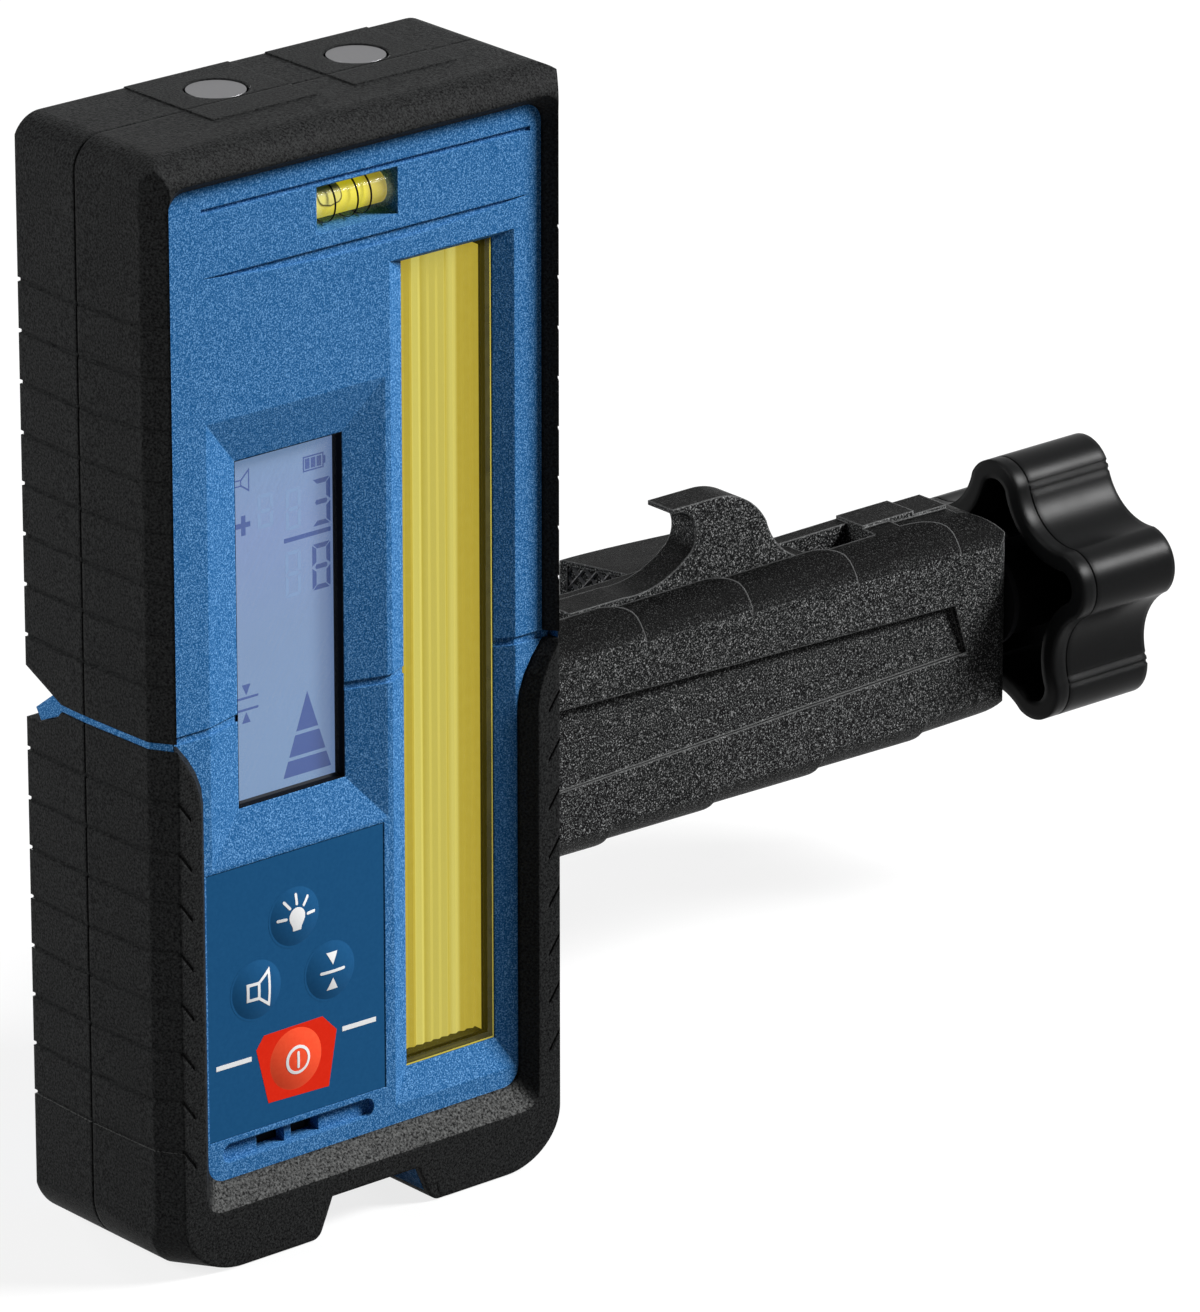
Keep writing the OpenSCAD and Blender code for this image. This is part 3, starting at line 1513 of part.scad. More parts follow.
// Reading pointer seen from the front
module pointer_outline() {
    left = jaw_x + pointer_left;
    right = jaw_x + pointer_right;
    base = clamp_z + channel_up - over + move_gap;
    foot = sweep_at[1] - sweep_r + lobe_bite;
    difference() {
        union() {
            intersection() {
                translate(crest_at) circle(crest_r);
                translate([crest_at[0] - over, base]) square([2 * crest_r, pointer_top - base]);
            }
            polygon([
                [left, base], [left, foot], [sweep_at[0], foot], [pointer_tip, sweep_z - over],
                [pointer_tip, pointer_top], [crest_at[0], pointer_top],
                crest_at + crest_r / norm(hollow_at - crest_at) * (hollow_at - crest_at),
                [right, hollow_at[1] - hollow_r + over], [right, base]
            ]);
        }
        translate(hollow_at) circle(hollow_r);
        translate(throat_at) circle(throat_r);
        intersection() {
            translate(sweep_at) circle(sweep_r);
            translate([left - over, base]) square([2 * sweep_r, sweep_z - base]);
        }
    }
}

// Gripping block seen from the side, with a rounded upper far corner
module grip_side() {
    size = jaw_back - jaw_front;
    high = grip_high - grip_low;
    translate([depth(jaw_front), grip_low]) square([size - grip_r, high]);
    translate([depth(jaw_front), grip_low]) square([size, high - grip_r]);
    translate([depth(jaw_back - grip_r), grip_high - grip_r]) circle(grip_r);
}

// Sunk field on the leaning gripping face
module grip_sink() {
    run = jaw_reach - jaw_nose_d;
    length = norm([run, jaw_lean]);
    translate([jaw_x, depth(jaw_front), 0]) rotate([0, 0, atan(jaw_lean / run)])
        translate([-over, grip_rim, grip_low + grip_rim])
            cube([over + grip_t, length - 2 * grip_rim, grip_high - grip_low - 2 * grip_rim]);
}

// Gripping block behind the bar, with a top that falls towards the knob
module grip_block() {
    far = jaw_x + jaw_w;
    near = jaw_x - 2 * jaw_lean;
    difference() {
        intersection() {
            translate([0, 0, grip_low]) linear_extrude(grip_high - grip_low)
                jaw_plan(jaw_x, far, jaw_front, jaw_back);
            across(near, far + over) grip_side();
            slab(jaw_front - over, jaw_back + over)
                polygon([[near, grip_low], [far, grip_low], [far, grip_high - grip_fall], [near, grip_high]]);
        }
        grip_sink();
    }
}

module movable_jaw() {
    left = jaw_x - carriage_lead;
    low = clamp_z - channel_down + move_gap;
    high = clamp_z + channel_up - move_gap;
    color(black) difference() {
        union() {
            block(left, left + carriage_l, channel_d + move_gap, bar_back - move_gap, low, high);
            block(jaw_x + over, jaw_x + jaw_w, lead_d, jaw_front + over, low, high);
            slab(pointer_d, pointer_d + pointer_t) pointer_outline();
            grip_block();
        }
        pin_x(lead_d, clamp_z, lead_r + run_gap, left - over, left + carriage_l + over);
    }
}

module lead_screw() {
    color(steel) pin_x(lead_d, clamp_z, lead_r, lead_left, lead_right);
}

// Star of round lobes and hollows, drawn in by an even inset
module star_outline(inset) {
    lobe_at = knob_r - lobe_r;
    step = 360 / knob_lobes;
    hollow_r = lobe_r * lobe_share;
    chord = lobe_at * sin(step / 2);
    hollow_at = lobe_at * cos(step / 2) + sqrt(pow(lobe_r + hollow_r, 2) - chord * chord) - lobe_bite;
    difference() {
        union() {
            for (i = [0:knob_lobes - 1]) rotate(i * step) translate([lobe_at, 0]) circle(lobe_r - inset);
            polygon([
                for (i = [0:knob_lobes - 1], end = [0, 1])
                    end == 0 ? lobe_at * [cos(i * step), sin(i * step)]
                        : hollow_at * [cos((i + 0.5) * step), sin((i + 0.5) * step)]
            ]);
        }
        for (i = [0:knob_lobes - 1])
            rotate((i + 0.5) * step) translate([hollow_at, 0]) circle(hollow_r + inset);
    }
}

// Pairs of fine lines along the flanks of two lobes
module knob_lines() {
    turn = 360 / knob_lobes;
    for (side = [-1, 1], flank = [62, 74])
        rotate(180 + (side < 0 ? 0 : 2 * turn)) translate([knob_r - lobe_r, 0]) rotate(-side * flank)
            translate([lobe_r, 0, rim_l]) cylinder(h = knob_l, r = knob_line);
}

module clamp_knob() {
    color(black) translate([knob_left, depth(lead_d), clamp_z]) rotate([0, 90, 0]) difference() {
        union() {
            difference() {
                linear_extrude(knob_l) rotate(180) star_outline(0);
                translate([0, 0, -over]) linear_extrude(knob_l - knob_wall + over) rotate(180)
                    star_outline(knob_wall);
            }
            translate([0, 0, bar_right + washer_t + fit_gap - knob_left])
                cylinder(h = knob_l - over - (bar_right + washer_t - knob_left), r = hub_r);
        }
        translate([0, 0, rim_l]) linear_extrude(knob_line) rotate(180) difference() {
            circle(2 * knob_r);
            star_outline(knob_line);
        }
        knob_lines();
        translate([0, 0, -knob_l])
            cylinder(h = lead_right - knob_left + knob_l + fit_gap, r = lead_r + fit_gap / 5);
    }
}

module thrust_washer() {
    color(steel) difference() {
        pin_x(lead_d, clamp_z, hub_r + 1, bar_right, bar_right + washer_t);
        pin_x(lead_d, clamp_z, lead_r + move_gap, bar_right - over, bar_right + washer_t + over);
    }
}

module mounting_screw() {
    head_d = bar_back + move_gap;
    flutes = 12;
    flute_r = 1.4;
    collar_t = 2;
    color(black) union() {
        pin_y([0, clamp_z], mount_r, mount_tip, head_d + over);
        difference() {
            pin_y([0, clamp_z], mount_head_r, head_d, head_d + mount_head_t);
            for (i = [0:flutes - 1]) {
                turn = i * 360 / flutes;
                at = [mount_head_r * cos(turn), clamp_z + mount_head_r * sin(turn)];
                pin_y(at, flute_r, head_d + collar_t, head_d + mount_head_t + over);
            }
        }
    }
}

front_housing();
rear_housing();
front_cover_upper();
front_cover_lower();
rear_cover_upper();
rear_cover_lower();
display_window();
display_module();
backlight();
detector_window();
detector_lens();
detector_board();
photodiodes();
level_vial();
vial_spirit();
keypad_overlay();
light_key();
volume_key();
precision_key();
power_key();
key_switches();
main_board();
board_screws();
buzzer();
magnets();
housing_seal();
housing_screws();
batteries();
battery_contacts();
battery_door();
door_seal();
hinge_pin();
thread_insert();
clamp_bar();
fixed_jaw();
jaw_screws();
movable_jaw();
lead_screw();
clamp_knob();
thrust_washer();
mounting_screw();
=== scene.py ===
import math

import bmesh
import bpy
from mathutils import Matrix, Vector
from mathutils.geometry import delaunay_2d_cdt


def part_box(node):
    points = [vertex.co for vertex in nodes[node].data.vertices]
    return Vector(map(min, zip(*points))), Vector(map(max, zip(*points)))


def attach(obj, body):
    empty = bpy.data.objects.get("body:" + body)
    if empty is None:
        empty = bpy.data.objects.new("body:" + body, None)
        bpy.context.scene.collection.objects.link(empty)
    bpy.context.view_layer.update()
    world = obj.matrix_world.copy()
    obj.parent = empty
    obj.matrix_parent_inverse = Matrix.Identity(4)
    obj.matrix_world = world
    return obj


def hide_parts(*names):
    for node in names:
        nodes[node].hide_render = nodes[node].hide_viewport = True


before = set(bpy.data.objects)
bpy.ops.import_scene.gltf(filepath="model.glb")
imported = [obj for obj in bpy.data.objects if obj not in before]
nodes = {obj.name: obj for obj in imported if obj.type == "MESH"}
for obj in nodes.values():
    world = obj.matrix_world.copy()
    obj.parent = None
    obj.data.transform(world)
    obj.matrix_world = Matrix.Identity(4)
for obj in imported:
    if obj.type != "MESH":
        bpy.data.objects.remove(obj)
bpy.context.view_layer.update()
mm = 0.001
edgeSamples = 6  # rays of a softened edge
dullGloss = 0.03  # mirror level of plain plastic and print
print("frame loaded:", len(nodes), "nodes")

# Depths are in millimetres behind the receiver's front face, as on the drawing
bodyDepth = 33


def place(x, depth, z):
    return Vector((x * mm, (depth - bodyDepth / 2) * mm, z * mm))


# A wire carries one socket; arithmetic on it adds Math nodes
class Wire:
    def __init__(self, finish, socket):
        self.finish = finish
        self.socket = socket

    def maths(self, operation, first, second):
        return self.finish.add("ShaderNodeMath", {"operation": operation}, {0: first, 1: second})

    def __add__(self, other):
        return self.maths("ADD", self, other)

    __radd__ = __add__

    def __sub__(self, other):
        return self.maths("SUBTRACT", self, other)

    def __rsub__(self, other):
        return self.maths("SUBTRACT", other, self)

    def __mul__(self, other):
        return self.maths("MULTIPLY", self, other)

    __rmul__ = __mul__

    def __truediv__(self, other):
        return self.maths("DIVIDE", self, other)

    def __rtruediv__(self, other):
        return self.maths("DIVIDE", other, self)

    def __gt__(self, other):
        return self.maths("GREATER_THAN", self, other)

    def __lt__(self, other):
        return self.maths("LESS_THAN", self, other)


# A finish is one material, or the world, and the nodes in it
class Finish:
    def __init__(self, name, world=None):
        self.material = world or bpy.data.materials.new(name)
        self.material.use_nodes = True
        self.tree = self.material.node_tree
        self.tree.nodes.clear()
        self.end = self.tree.nodes.new("ShaderNodeOutputWorld" if world else "ShaderNodeOutputMaterial")

    def add(self, kind, settings=None, sockets=None, out=0):
        node = self.tree.nodes.new(kind)
        for key, value in (settings or {}).items():
            if key == "stops":
                ramp = node.color_ramp
                while len(ramp.elements) < len(value):
                    ramp.elements.new(0.5)
                for element, (at, colour) in zip(ramp.elements, value):
                    element.position = at
                    element.color = (*colour, 1)
            else:
                setattr(node, key, value)
        for key, value in (sockets or {}).items():
            socket = node.inputs[key]
            if isinstance(value, Wire):
                self.tree.links.new(value.socket, socket)
            elif value is not None:
                bareColour = socket.type == "RGBA" and len(value) == 3
                socket.default_value = (*value, 1) if bareColour else value
        return Wire(self, node.outputs[out])

    def place(self):
        return self.add("ShaderNodeTexCoord", out="Object")

    # One axis of a vector, or of the place on the piece
    def part(self, axis, vector=None):
        return self.add("ShaderNodeSeparateXYZ", {}, {"Vector": vector or self.place()}, axis)

    def facing(self):
        return self.add("ShaderNodeNewGeometry", out="Normal")

    def noise(self, size, detail=2.0, rough=0.5, where=None):
        sockets = {"Vector": where or self.place(), "Scale": 1 / (size * mm),
                   "Detail": detail, "Roughness": rough}
        return self.add("ShaderNodeTexNoise", {}, sockets)

    def cells(self, size):
        sockets = {"Vector": self.place(), "Scale": 1 / (size * mm)}
        return self.add("ShaderNodeTexVoronoi", {}, sockets, "Distance")

    def ramp(self, factor, *stops):
        return self.add("ShaderNodeValToRGB", {"stops": stops}, {"Fac": factor})

    # Grey ramp from one level to another, black to white unless other levels are given
    def rise(self, factor, start, stop, low=0.0, high=1.0):
        return self.ramp(factor, (start, grey(low)), (stop, grey(high)))

    # Inputs 6 and 7 of a Mix node are its colours, output 2 their mix
    def mix(self, factor, first, second, blend="MIX"):
        return self.add("ShaderNodeMix", {"data_type": "RGBA", "blend_type": blend},
                        {0: factor, 6: first, 7: second}, 2)

    def bump(self, height, depth, strength=1.0, under=None):
        return self.add("ShaderNodeBump", {},
                        {"Height": height, "Distance": depth * mm, "Strength": strength, "Normal": under})

    def soften(self, radius):
        return self.add("ShaderNodeBevel", {"samples": edgeSamples}, {"Radius": radius * mm})

    def shade(self, colour, roughness, gloss=0.5, **more):
        values = {"Base Color": colour, "Roughness": roughness, "Specular IOR Level": gloss, **more}
        return self.close(self.add("ShaderNodeBsdfPrincipled", {}, values))

    # Painted glow: part of the colour is given off, the rest is lit
    def glow(self, colour, share, roughness):
        lit = self.mix(1.0, colour, grey(1 - share), "MULTIPLY")
        values = {"Emission Color": colour, "Emission Strength": share}
        return self.shade(lit, roughness, dullGloss, **values)

    # One for the rays that show the background: straight, mirrored or through glass
    def seen(self):
        straight = self.add("ShaderNodeLightPath", out="Is Camera Ray")
        mirrored = self.add("ShaderNodeLightPath", out="Is Glossy Ray")
        through = self.add("ShaderNodeLightPath", out="Is Transmission Ray")
        return (straight + mirrored + through) > 0.5

    def close(self, shader):
        self.tree.links.new(shader.socket, self.end.inputs["Surface"])
        return self


# sRGB values as read, turned into the linear ones that Blender takes
def srgb(red, green, blue):
    def linear(value):
        share = value / 255
        return share / 12.92 if share <= 0.04045 else ((share + 0.055) / 1.055) ** 2.4
    return (linear(red), linear(green), linear(blue))


def grey(level):
    return (level,) * 3


# The sill below the panel gets a painted highlight: it is paler than the rest of the rubber
rubberLook = {
    "dark": srgb(4, 4, 5), "light": srgb(49, 50, 50), "sillSheen": srgb(106, 107, 106), "sillTop": 25,
    "sillTilt": (0.3, 0.42), "grain": 0.36, "grainEnds": (0.35, 0.72), "patch": 9, "rough": (0.48, 0.6),
    "edge": 0.8, "relief": 0.22, "bite": 0.6, "gloss": 0.035,
}


def makeRubber():
    look = rubberLook
    skin = Finish("rubber")
    grain = skin.noise(look["grain"], detail=3, rough=0.6)
    patches = skin.noise(look["patch"])
    # Painted highlight: faces low on the piece that turn forward and up take the paler sill colour
    tilt = skin.rise(skin.part("Z", skin.facing()), *look["sillTilt"])
    sillSheen = tilt * (skin.part("Z") < look["sillTop"] * mm)
    pale = skin.mix(sillSheen, look["light"], look["sillSheen"])
    colour = skin.mix(skin.rise(grain, *look["grainEnds"]), look["dark"], pale)
    low, high = look["rough"]
    relief = skin.bump(grain, look["relief"], look["bite"], skin.soften(look["edge"]))
    return skin.shade(colour, low + patches * (high - low), Normal=relief, gloss=look["gloss"])


blueLook = {
    "dark": srgb(24, 82, 134), "mid": srgb(48, 103, 156), "light": srgb(112, 164, 216),
    "stops": (0.36, 0.5, 0.68), "grain": 0.24, "sparkle": 0.5, "rough": (0.42, 0.3),
    "edge": 0.3, "relief": 0.1, "bite": 0.6, "gloss": 0.03,
}


def makeBlue():
    look = blueLook
    skin = Finish("blue_shell")
    grain = skin.noise(look["grain"], rough=0.6)
    colour = skin.ramp(grain, *zip(look["stops"], (look["dark"], look["mid"], look["light"])))
    relief = skin.bump(grain, look["relief"], look["bite"], skin.soften(look["edge"]))
    base, more = look["rough"]
    return skin.shade(colour, base + skin.cells(look["sparkle"]) * more, Normal=relief, gloss=look["gloss"])


# Faces that look up get painted shade, the grain's brightest specks are partly painted glints, and rims get a
# painted highlight
barLook = {
    "dark": srgb(8, 8, 9), "mid": srgb(54, 55, 55), "light": srgb(190, 191, 191), "stops": (0.42, 0.56, 0.76),
    "top": 0.12, "topShadeTilt": (0.05, 0.6),
    "rim": srgb(122, 123, 123), "rimHighlightShare": 0.6, "rimTurn": (0.88, 0.975),
    "grain": 0.26, "patch": 6, "rough": (0.34, 0.12), "edge": 0.5, "relief": 0.2, "bite": 0.8, "gloss": 0.02,
}


def makeBar():
    look = barLook
    skin = Finish("grained_black")
    grain = skin.noise(look["grain"], detail=3, rough=0.62)
    # Grain of the plastic, whose brightest specks are painted glints
    speckle = skin.ramp(grain, *zip(look["stops"], (look["dark"], look["mid"], look["light"])))
    normal = skin.facing()
    # Painted shade: the colour darkens as the face turns up
    upward = skin.rise(skin.part("Z", normal), *look["topShadeTilt"], 1.0, look["top"])
    colour = skin.mix(1.0, speckle, upward, "MULTIPLY")
    rounded = skin.soften(look["edge"])
    # Painted highlight on rims, where the softened normal turns away from the true one
    level = skin.add("ShaderNodeVectorMath", {"operation": "DOT_PRODUCT"}, {0: normal, 1: rounded}, "Value")
    rim = skin.rise(level, *look["rimTurn"], look["rimHighlightShare"], 0.0)
    colour = skin.mix(rim, colour, look["rim"])
    relief = skin.bump(grain, look["relief"], look["bite"], rounded)
    base, more = look["rough"]
    return skin.shade(colour, base + skin.noise(look["patch"]) * more, Normal=relief, gloss=look["gloss"])


knobLook = {
    "dark": srgb(7, 8, 8), "light": srgb(14, 14, 15), "grain": 0.5, "patch": 7, "rough": (0.3, 0.1),
    "edge": 1.4, "relief": 0.015, "bite": 0.4, "gloss": 0.065,
}


def makeKnob():
    look = knobLook
    skin = Finish("gloss_black")
    grain = skin.noise(look["grain"])
    colour = skin.mix(grain, look["dark"], look["light"])
    relief = skin.bump(grain, look["relief"], look["bite"], skin.soften(look["edge"]))
    base, more = look["rough"]
    return skin.shade(colour, base + skin.noise(look["patch"]) * more, Normal=relief, gloss=look["gloss"])


plainLook = {"bite": 0.4, "roughMore": 0.08}


# Plain plastic or print: fine grain, and softened edges where an edge radius is given
def makePlain(name, dark, light, rough, grainSize=0.5, relief=0.02, edge=0.15):
    skin = Finish(name)
    grain = skin.noise(grainSize)
    colour = skin.mix(grain, dark, light)
    normal = skin.bump(grain, relief, plainLook["bite"], skin.soften(edge) if edge else None)
    return skin.shade(colour, rough + grain * plainLook["roughMore"], Normal=normal, gloss=dullGloss)


markLook = {"hazeSize": 0.8, "rough": (0.4, 0.05)}


# Display marks get the same painted glow as the glass behind them
def makeMark(name, dark, light):
    skin = Finish(name)
    haze = skin.noise(markLook["hazeSize"])
    base, more = markLook["rough"]
    return skin.glow(skin.mix(haze, dark, light), glassLook["glow"], base + haze * more)


steelLook = {"brush": 0.3, "stretch": (1, 6, 1), "relief": 0.01, "bite": 0.5, "edge": 0.15, "roughMore": 0.15}


def makeSteel(name, dark, light, rough):
    look = steelLook
    skin = Finish(name)
    spot = skin.add("ShaderNodeMapping", {"vector_type": "TEXTURE"},
                    {"Vector": skin.place(), "Scale": look["stretch"]})
    brush = skin.noise(look["brush"], detail=3, rough=0.6, where=spot)
    colour = skin.mix(brush, dark, light)
    normal = skin.bump(brush, look["relief"], look["bite"], skin.soften(look["edge"]))
    return skin.shade(colour, rough + brush * look["roughMore"], Normal=normal, Metallic=1.0)


clearLook = {"alpha": 0.06, "hazeSize": 3, "hazeShare": 0.2, "rough": (0.05, 0.03)}


def makeClear(name, tint):
    look = clearLook
    skin = Finish(name)
    haze = skin.noise(look["hazeSize"])
    colour = skin.mix(haze * look["hazeShare"], tint, grey(1))
    base, more = look["rough"]
    return skin.shade(colour, base + haze * more, Alpha=look["alpha"])


# Clear yellow tray: painted shade on its side walls, and a painted highlight on its outer edges
trayLook = {
    "tint": srgb(206, 186, 66), "wall": srgb(46, 43, 16), "edge": srgb(214, 198, 84),
    "haze": srgb(228, 214, 110), "hazeSize": 3, "hazeShare": 0.1, "rough": (0.1, 0.05),
    "alpha": 0.05, "wallAlpha": 0.85, "gloss": 0.1,
    "wallRight": 25.5, "edgeRight": 26.45, "wallLow": 22.5, "edgeLow": 21.55,
}


def makeTray():
    look = trayLook
    skin = Finish("yellow_tray")
    haze = skin.noise(look["hazeSize"])
    across, up = skin.part("X"), skin.part("Z")
    # Painted shade on the walls and a painted highlight on the outer edges
    wall = ((across > look["wallRight"] * mm) + (up < look["wallLow"] * mm)) > 0.5
    edge = ((across > look["edgeRight"] * mm) + (up < look["edgeLow"] * mm)) > 0.5
    colour = skin.mix(edge, skin.mix(wall, look["tint"], look["wall"]), look["edge"])
    colour = skin.mix(haze * look["hazeShare"], colour, look["haze"])
    base, more = look["rough"]
    alpha = look["alpha"] + wall * look["wallAlpha"]
    return skin.shade(colour, base + haze * more, look["gloss"], Alpha=alpha)


# A finish with a painted glow under a faint haze
def hazeOver(skin, colour, look):
    haze = skin.noise(look["hazeSize"])
    base, more = look["rough"]
    clouded = skin.mix(haze * look["hazeShare"], colour, look["haze"])
    return skin.glow(clouded, look["glow"], base + haze * more)


# Share of the way along one axis, from 0 to 1
def along(skin, axis, start, stop):
    return (skin.part(axis) - start * mm) / ((stop - start) * mm)


# Bands of the ribbed strip from its left edge, as (share, colour)
stripLook = {
    "from": 10.7, "to": 25.5, "glow": 0.85, "rough": (0.3, 0.1),
    "haze": srgb(214, 200, 96), "hazeSize": 1.6, "hazeShare": 0.25,
    "bands": (
        (0.0, srgb(178, 158, 56)), (0.2, srgb(184, 164, 58)), (0.22, srgb(216, 206, 108)),
        (0.31, srgb(216, 206, 108)), (0.33, srgb(186, 170, 68)), (0.38, srgb(200, 188, 92)),
        (0.62, srgb(202, 190, 94)), (0.64, srgb(184, 166, 60)), (0.7, srgb(218, 208, 112)),
        (0.78, srgb(214, 202, 104)), (0.8, srgb(184, 164, 58)), (1.0, srgb(180, 160, 54)),
    ),
}


def makeStrip():
    look = stripLook
    skin = Finish("yellow_strip")
    bands = skin.ramp(along(skin, "X", look["from"], look["to"]), *look["bands"])
    # Painted glow on the strip, which fills in the shade of the tray's walls
    return hazeOver(skin, bands, look)


# The display opening, shared by the glass, its marks and its liner
display = {"face": 6.6, "left": -21.9, "right": -1.7, "low": 70.9, "high": 125.3, "front": 4.4, "back": 6.58}
glassLook = {
    "glow": 0.6, "shade": srgb(108, 132, 182), "shadeFrom": 0.8, "shadeShare": 0.55, "rough": (0.35, 0.05),
    "haze": srgb(170, 195, 230), "hazeSize": 5, "hazeShare": 0.12,
    "tones": (
        (0.0, srgb(134, 164, 202)), (0.45, srgb(136, 162, 200)), (0.75, srgb(138, 160, 204)),
        (1.0, srgb(132, 162, 200)),
    ),
}


def makeGlass():
    look = glassLook
    skin = Finish("lcd_glass")
    tone = skin.ramp(along(skin, "Z", display["low"], display["high"]), *look["tones"])
    side = along(skin, "X", display["left"], display["right"])
    shadow = skin.rise(side, look["shadeFrom"], 1.0, 0.0, look["shadeShare"])
    # Painted glow on the glass, which fills in the shade of the opening's walls
    return hazeOver(skin, skin.mix(shadow, tone, look["shade"]), look)


spiritLook = {
    "from": -7, "to": 7, "glow": 0.5, "rough": (0.1, 0.05),
    "haze": srgb(220, 204, 40), "hazeSize": 2, "hazeShare": 0.15,
    "tones": (
        (0.0, srgb(222, 214, 120)), (0.12, srgb(230, 216, 60)), (0.3, srgb(238, 222, 40)),
        (0.68, srgb(238, 224, 36)), (0.74, srgb(206, 188, 48)), (0.95, srgb(186, 168, 60)),
        (1.0, srgb(228, 218, 120)),
    ),
}


def makeSpirit():
    look = spiritLook
    skin = Finish("yellow_spirit")
    tone = skin.ramp(along(skin, "X", look["from"], look["to"]), *look["tones"])
    # Painted glow in the vial's spirit
    return hazeOver(skin, tone, look)


# Printed jacket of the cells, with a metal band at the top
cellLook = {
    "jacket": srgb(30, 34, 40), "band": srgb(176, 140, 84), "bandFrom": 0.76, "metal": 0.9,
    "scuff": srgb(120, 118, 110), "scuffSize": 2, "scuffShare": 0.15, "rough": (0.3, 0.1),
}


def makeCell():
    look = cellLook
    skin = Finish("cell_jacket")
    low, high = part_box("batteries")
    upper = along(skin, "Z", low[2] / mm, high[2] / mm) > look["bandFrom"]
    scuff = skin.noise(look["scuffSize"], detail=3)
    colour = skin.mix(upper, look["jacket"], look["band"])
    colour = skin.mix(scuff * look["scuffShare"], colour, look["scuff"])
    base, more = look["rough"]
    return skin.shade(colour, base + scuff * more, Metallic=upper * look["metal"])


rubberSkin = makeRubber()
blueSkin = makeBlue()
barSkin = makeBar()
knobSkin = makeKnob()
keypadSkin = makePlain("keypad_film", srgb(24, 76, 120), srgb(32, 86, 130), 0.45, 0.6, 0.01, 0)
redSkin = makePlain("power_red", srgb(222, 38, 18), srgb(230, 48, 26), 0.45, 0.6, 0.01, 0)
hotSkin = makePlain("power_dome", srgb(238, 74, 44), srgb(246, 90, 56), 0.4, 0.6, 0.01, 0)
whiteSkin = makePlain("white_print", srgb(232, 233, 234), srgb(242, 242, 242), 0.4, 0.6, 0.005, 0)
inkSkin = makePlain("black_print", srgb(8, 8, 9), srgb(12, 12, 13), 0.4, 0.5, 0.005, 0)
segmentSkin = makeMark("lcd_segment", srgb(66, 88, 150), srgb(72, 96, 158))
ghostSkin = makeMark("lcd_ghost", srgb(126, 154, 194), srgb(130, 158, 198))
lcdSkin = makeGlass()
paneSkin = makeClear("clear_pane", srgb(225, 232, 245))
yellowSkin = makeTray()
lensSkin = makeStrip()
oliveSkin = makePlain("tray_shade", srgb(34, 32, 12), srgb(48, 45, 18), 0.5, 1.0, 0.0, 0)
vialSkin = makeClear("clear_vial", srgb(240, 240, 200))
spiritSkin = makeSpirit()
bubbleSkin = makePlain("bubble_pale", srgb(206, 196, 92), srgb(216, 208, 112), 0.12, 2, 0.0, 0.05)
bubbleEdgeSkin = makePlain("bubble_edge", srgb(96, 86, 14), srgb(112, 100, 20), 0.2, 2, 0.0, 0.05)
steelSkin = makeSteel("plain_steel", srgb(128, 128, 130), srgb(160, 160, 162), 0.32)
magnetSkin = makeSteel("magnet_plating", srgb(108, 108, 110), srgb(132, 132, 134), 0.32)
# Pale grey on the jaw's black knurl ridges is a painted highlight
ridgeSkin = makePlain("ridge_painted_highlight", srgb(88, 88, 89), srgb(126, 126, 127), 0.4, 0.4, 0.02, 0.1)
brassSkin = makeSteel("turned_brass", srgb(170, 130, 62), srgb(206, 166, 90), 0.25)
boardSkin = makePlain("board_green", srgb(18, 70, 40), srgb(26, 84, 50), 0.4)
cellSkin = makeCell()
darkSkin = makePlain("dark_inner", srgb(24, 24, 26), srgb(34, 34, 36), 0.5)
paleSkin = makePlain("pale_inner", srgb(225, 226, 222), srgb(236, 236, 232), 0.5)
print("finishes made")

wears = {
    blueSkin: ["front_housing", "rear_housing", "battery_door"],
    rubberSkin: ["front_cover_upper", "front_cover_lower", "rear_cover_upper", "rear_cover_lower",
                 "housing_seal", "door_seal"],
    keypadSkin: ["keypad_overlay", "light_key", "volume_key", "precision_key"],
    hotSkin: ["power_key"],
    paneSkin: ["display_window"],
    lcdSkin: ["display_module"],
    paleSkin: ["backlight"],
    yellowSkin: ["detector_window"],
    lensSkin: ["detector_lens"],
    vialSkin: ["level_vial"],
    spiritSkin: ["vial_spirit"],
    magnetSkin: ["magnets"],
    steelSkin: ["board_screws", "housing_screws", "battery_contacts", "hinge_pin",
                "lead_screw", "jaw_screws"],
    brassSkin: ["thread_insert"],
    boardSkin: ["main_board", "detector_board"],
    darkSkin: ["photodiodes", "key_switches", "buzzer", "thrust_washer"],
    cellSkin: ["batteries"],
    barSkin: ["clamp_bar", "fixed_jaw", "movable_jaw"],
    knobSkin: ["clamp_knob", "mounting_screw"],
}
for skin, names in wears.items():
    for name in names:
        nodes[name].data.materials.clear()
        nodes[name].data.materials.append(skin.material)
print("nodes dressed:", sum(len(names) for names in wears.values()))


# Flat shapes are drawn as seen from the front, in millimetres across and up
def inside(x, z, loops):
    odd = False
    for loop in loops:
        for (ax, az), (bx, bz) in zip(loop, loop[1:] + loop[:1]):
            if (az > z) != (bz > z) and x < ax + (z - az) * (bx - ax) / (bz - az):
                odd = not odd
    return odd


# Sizes for filling a flat shape with triangles
fill = {"mostInner": 4000, "weld": 1e-5}


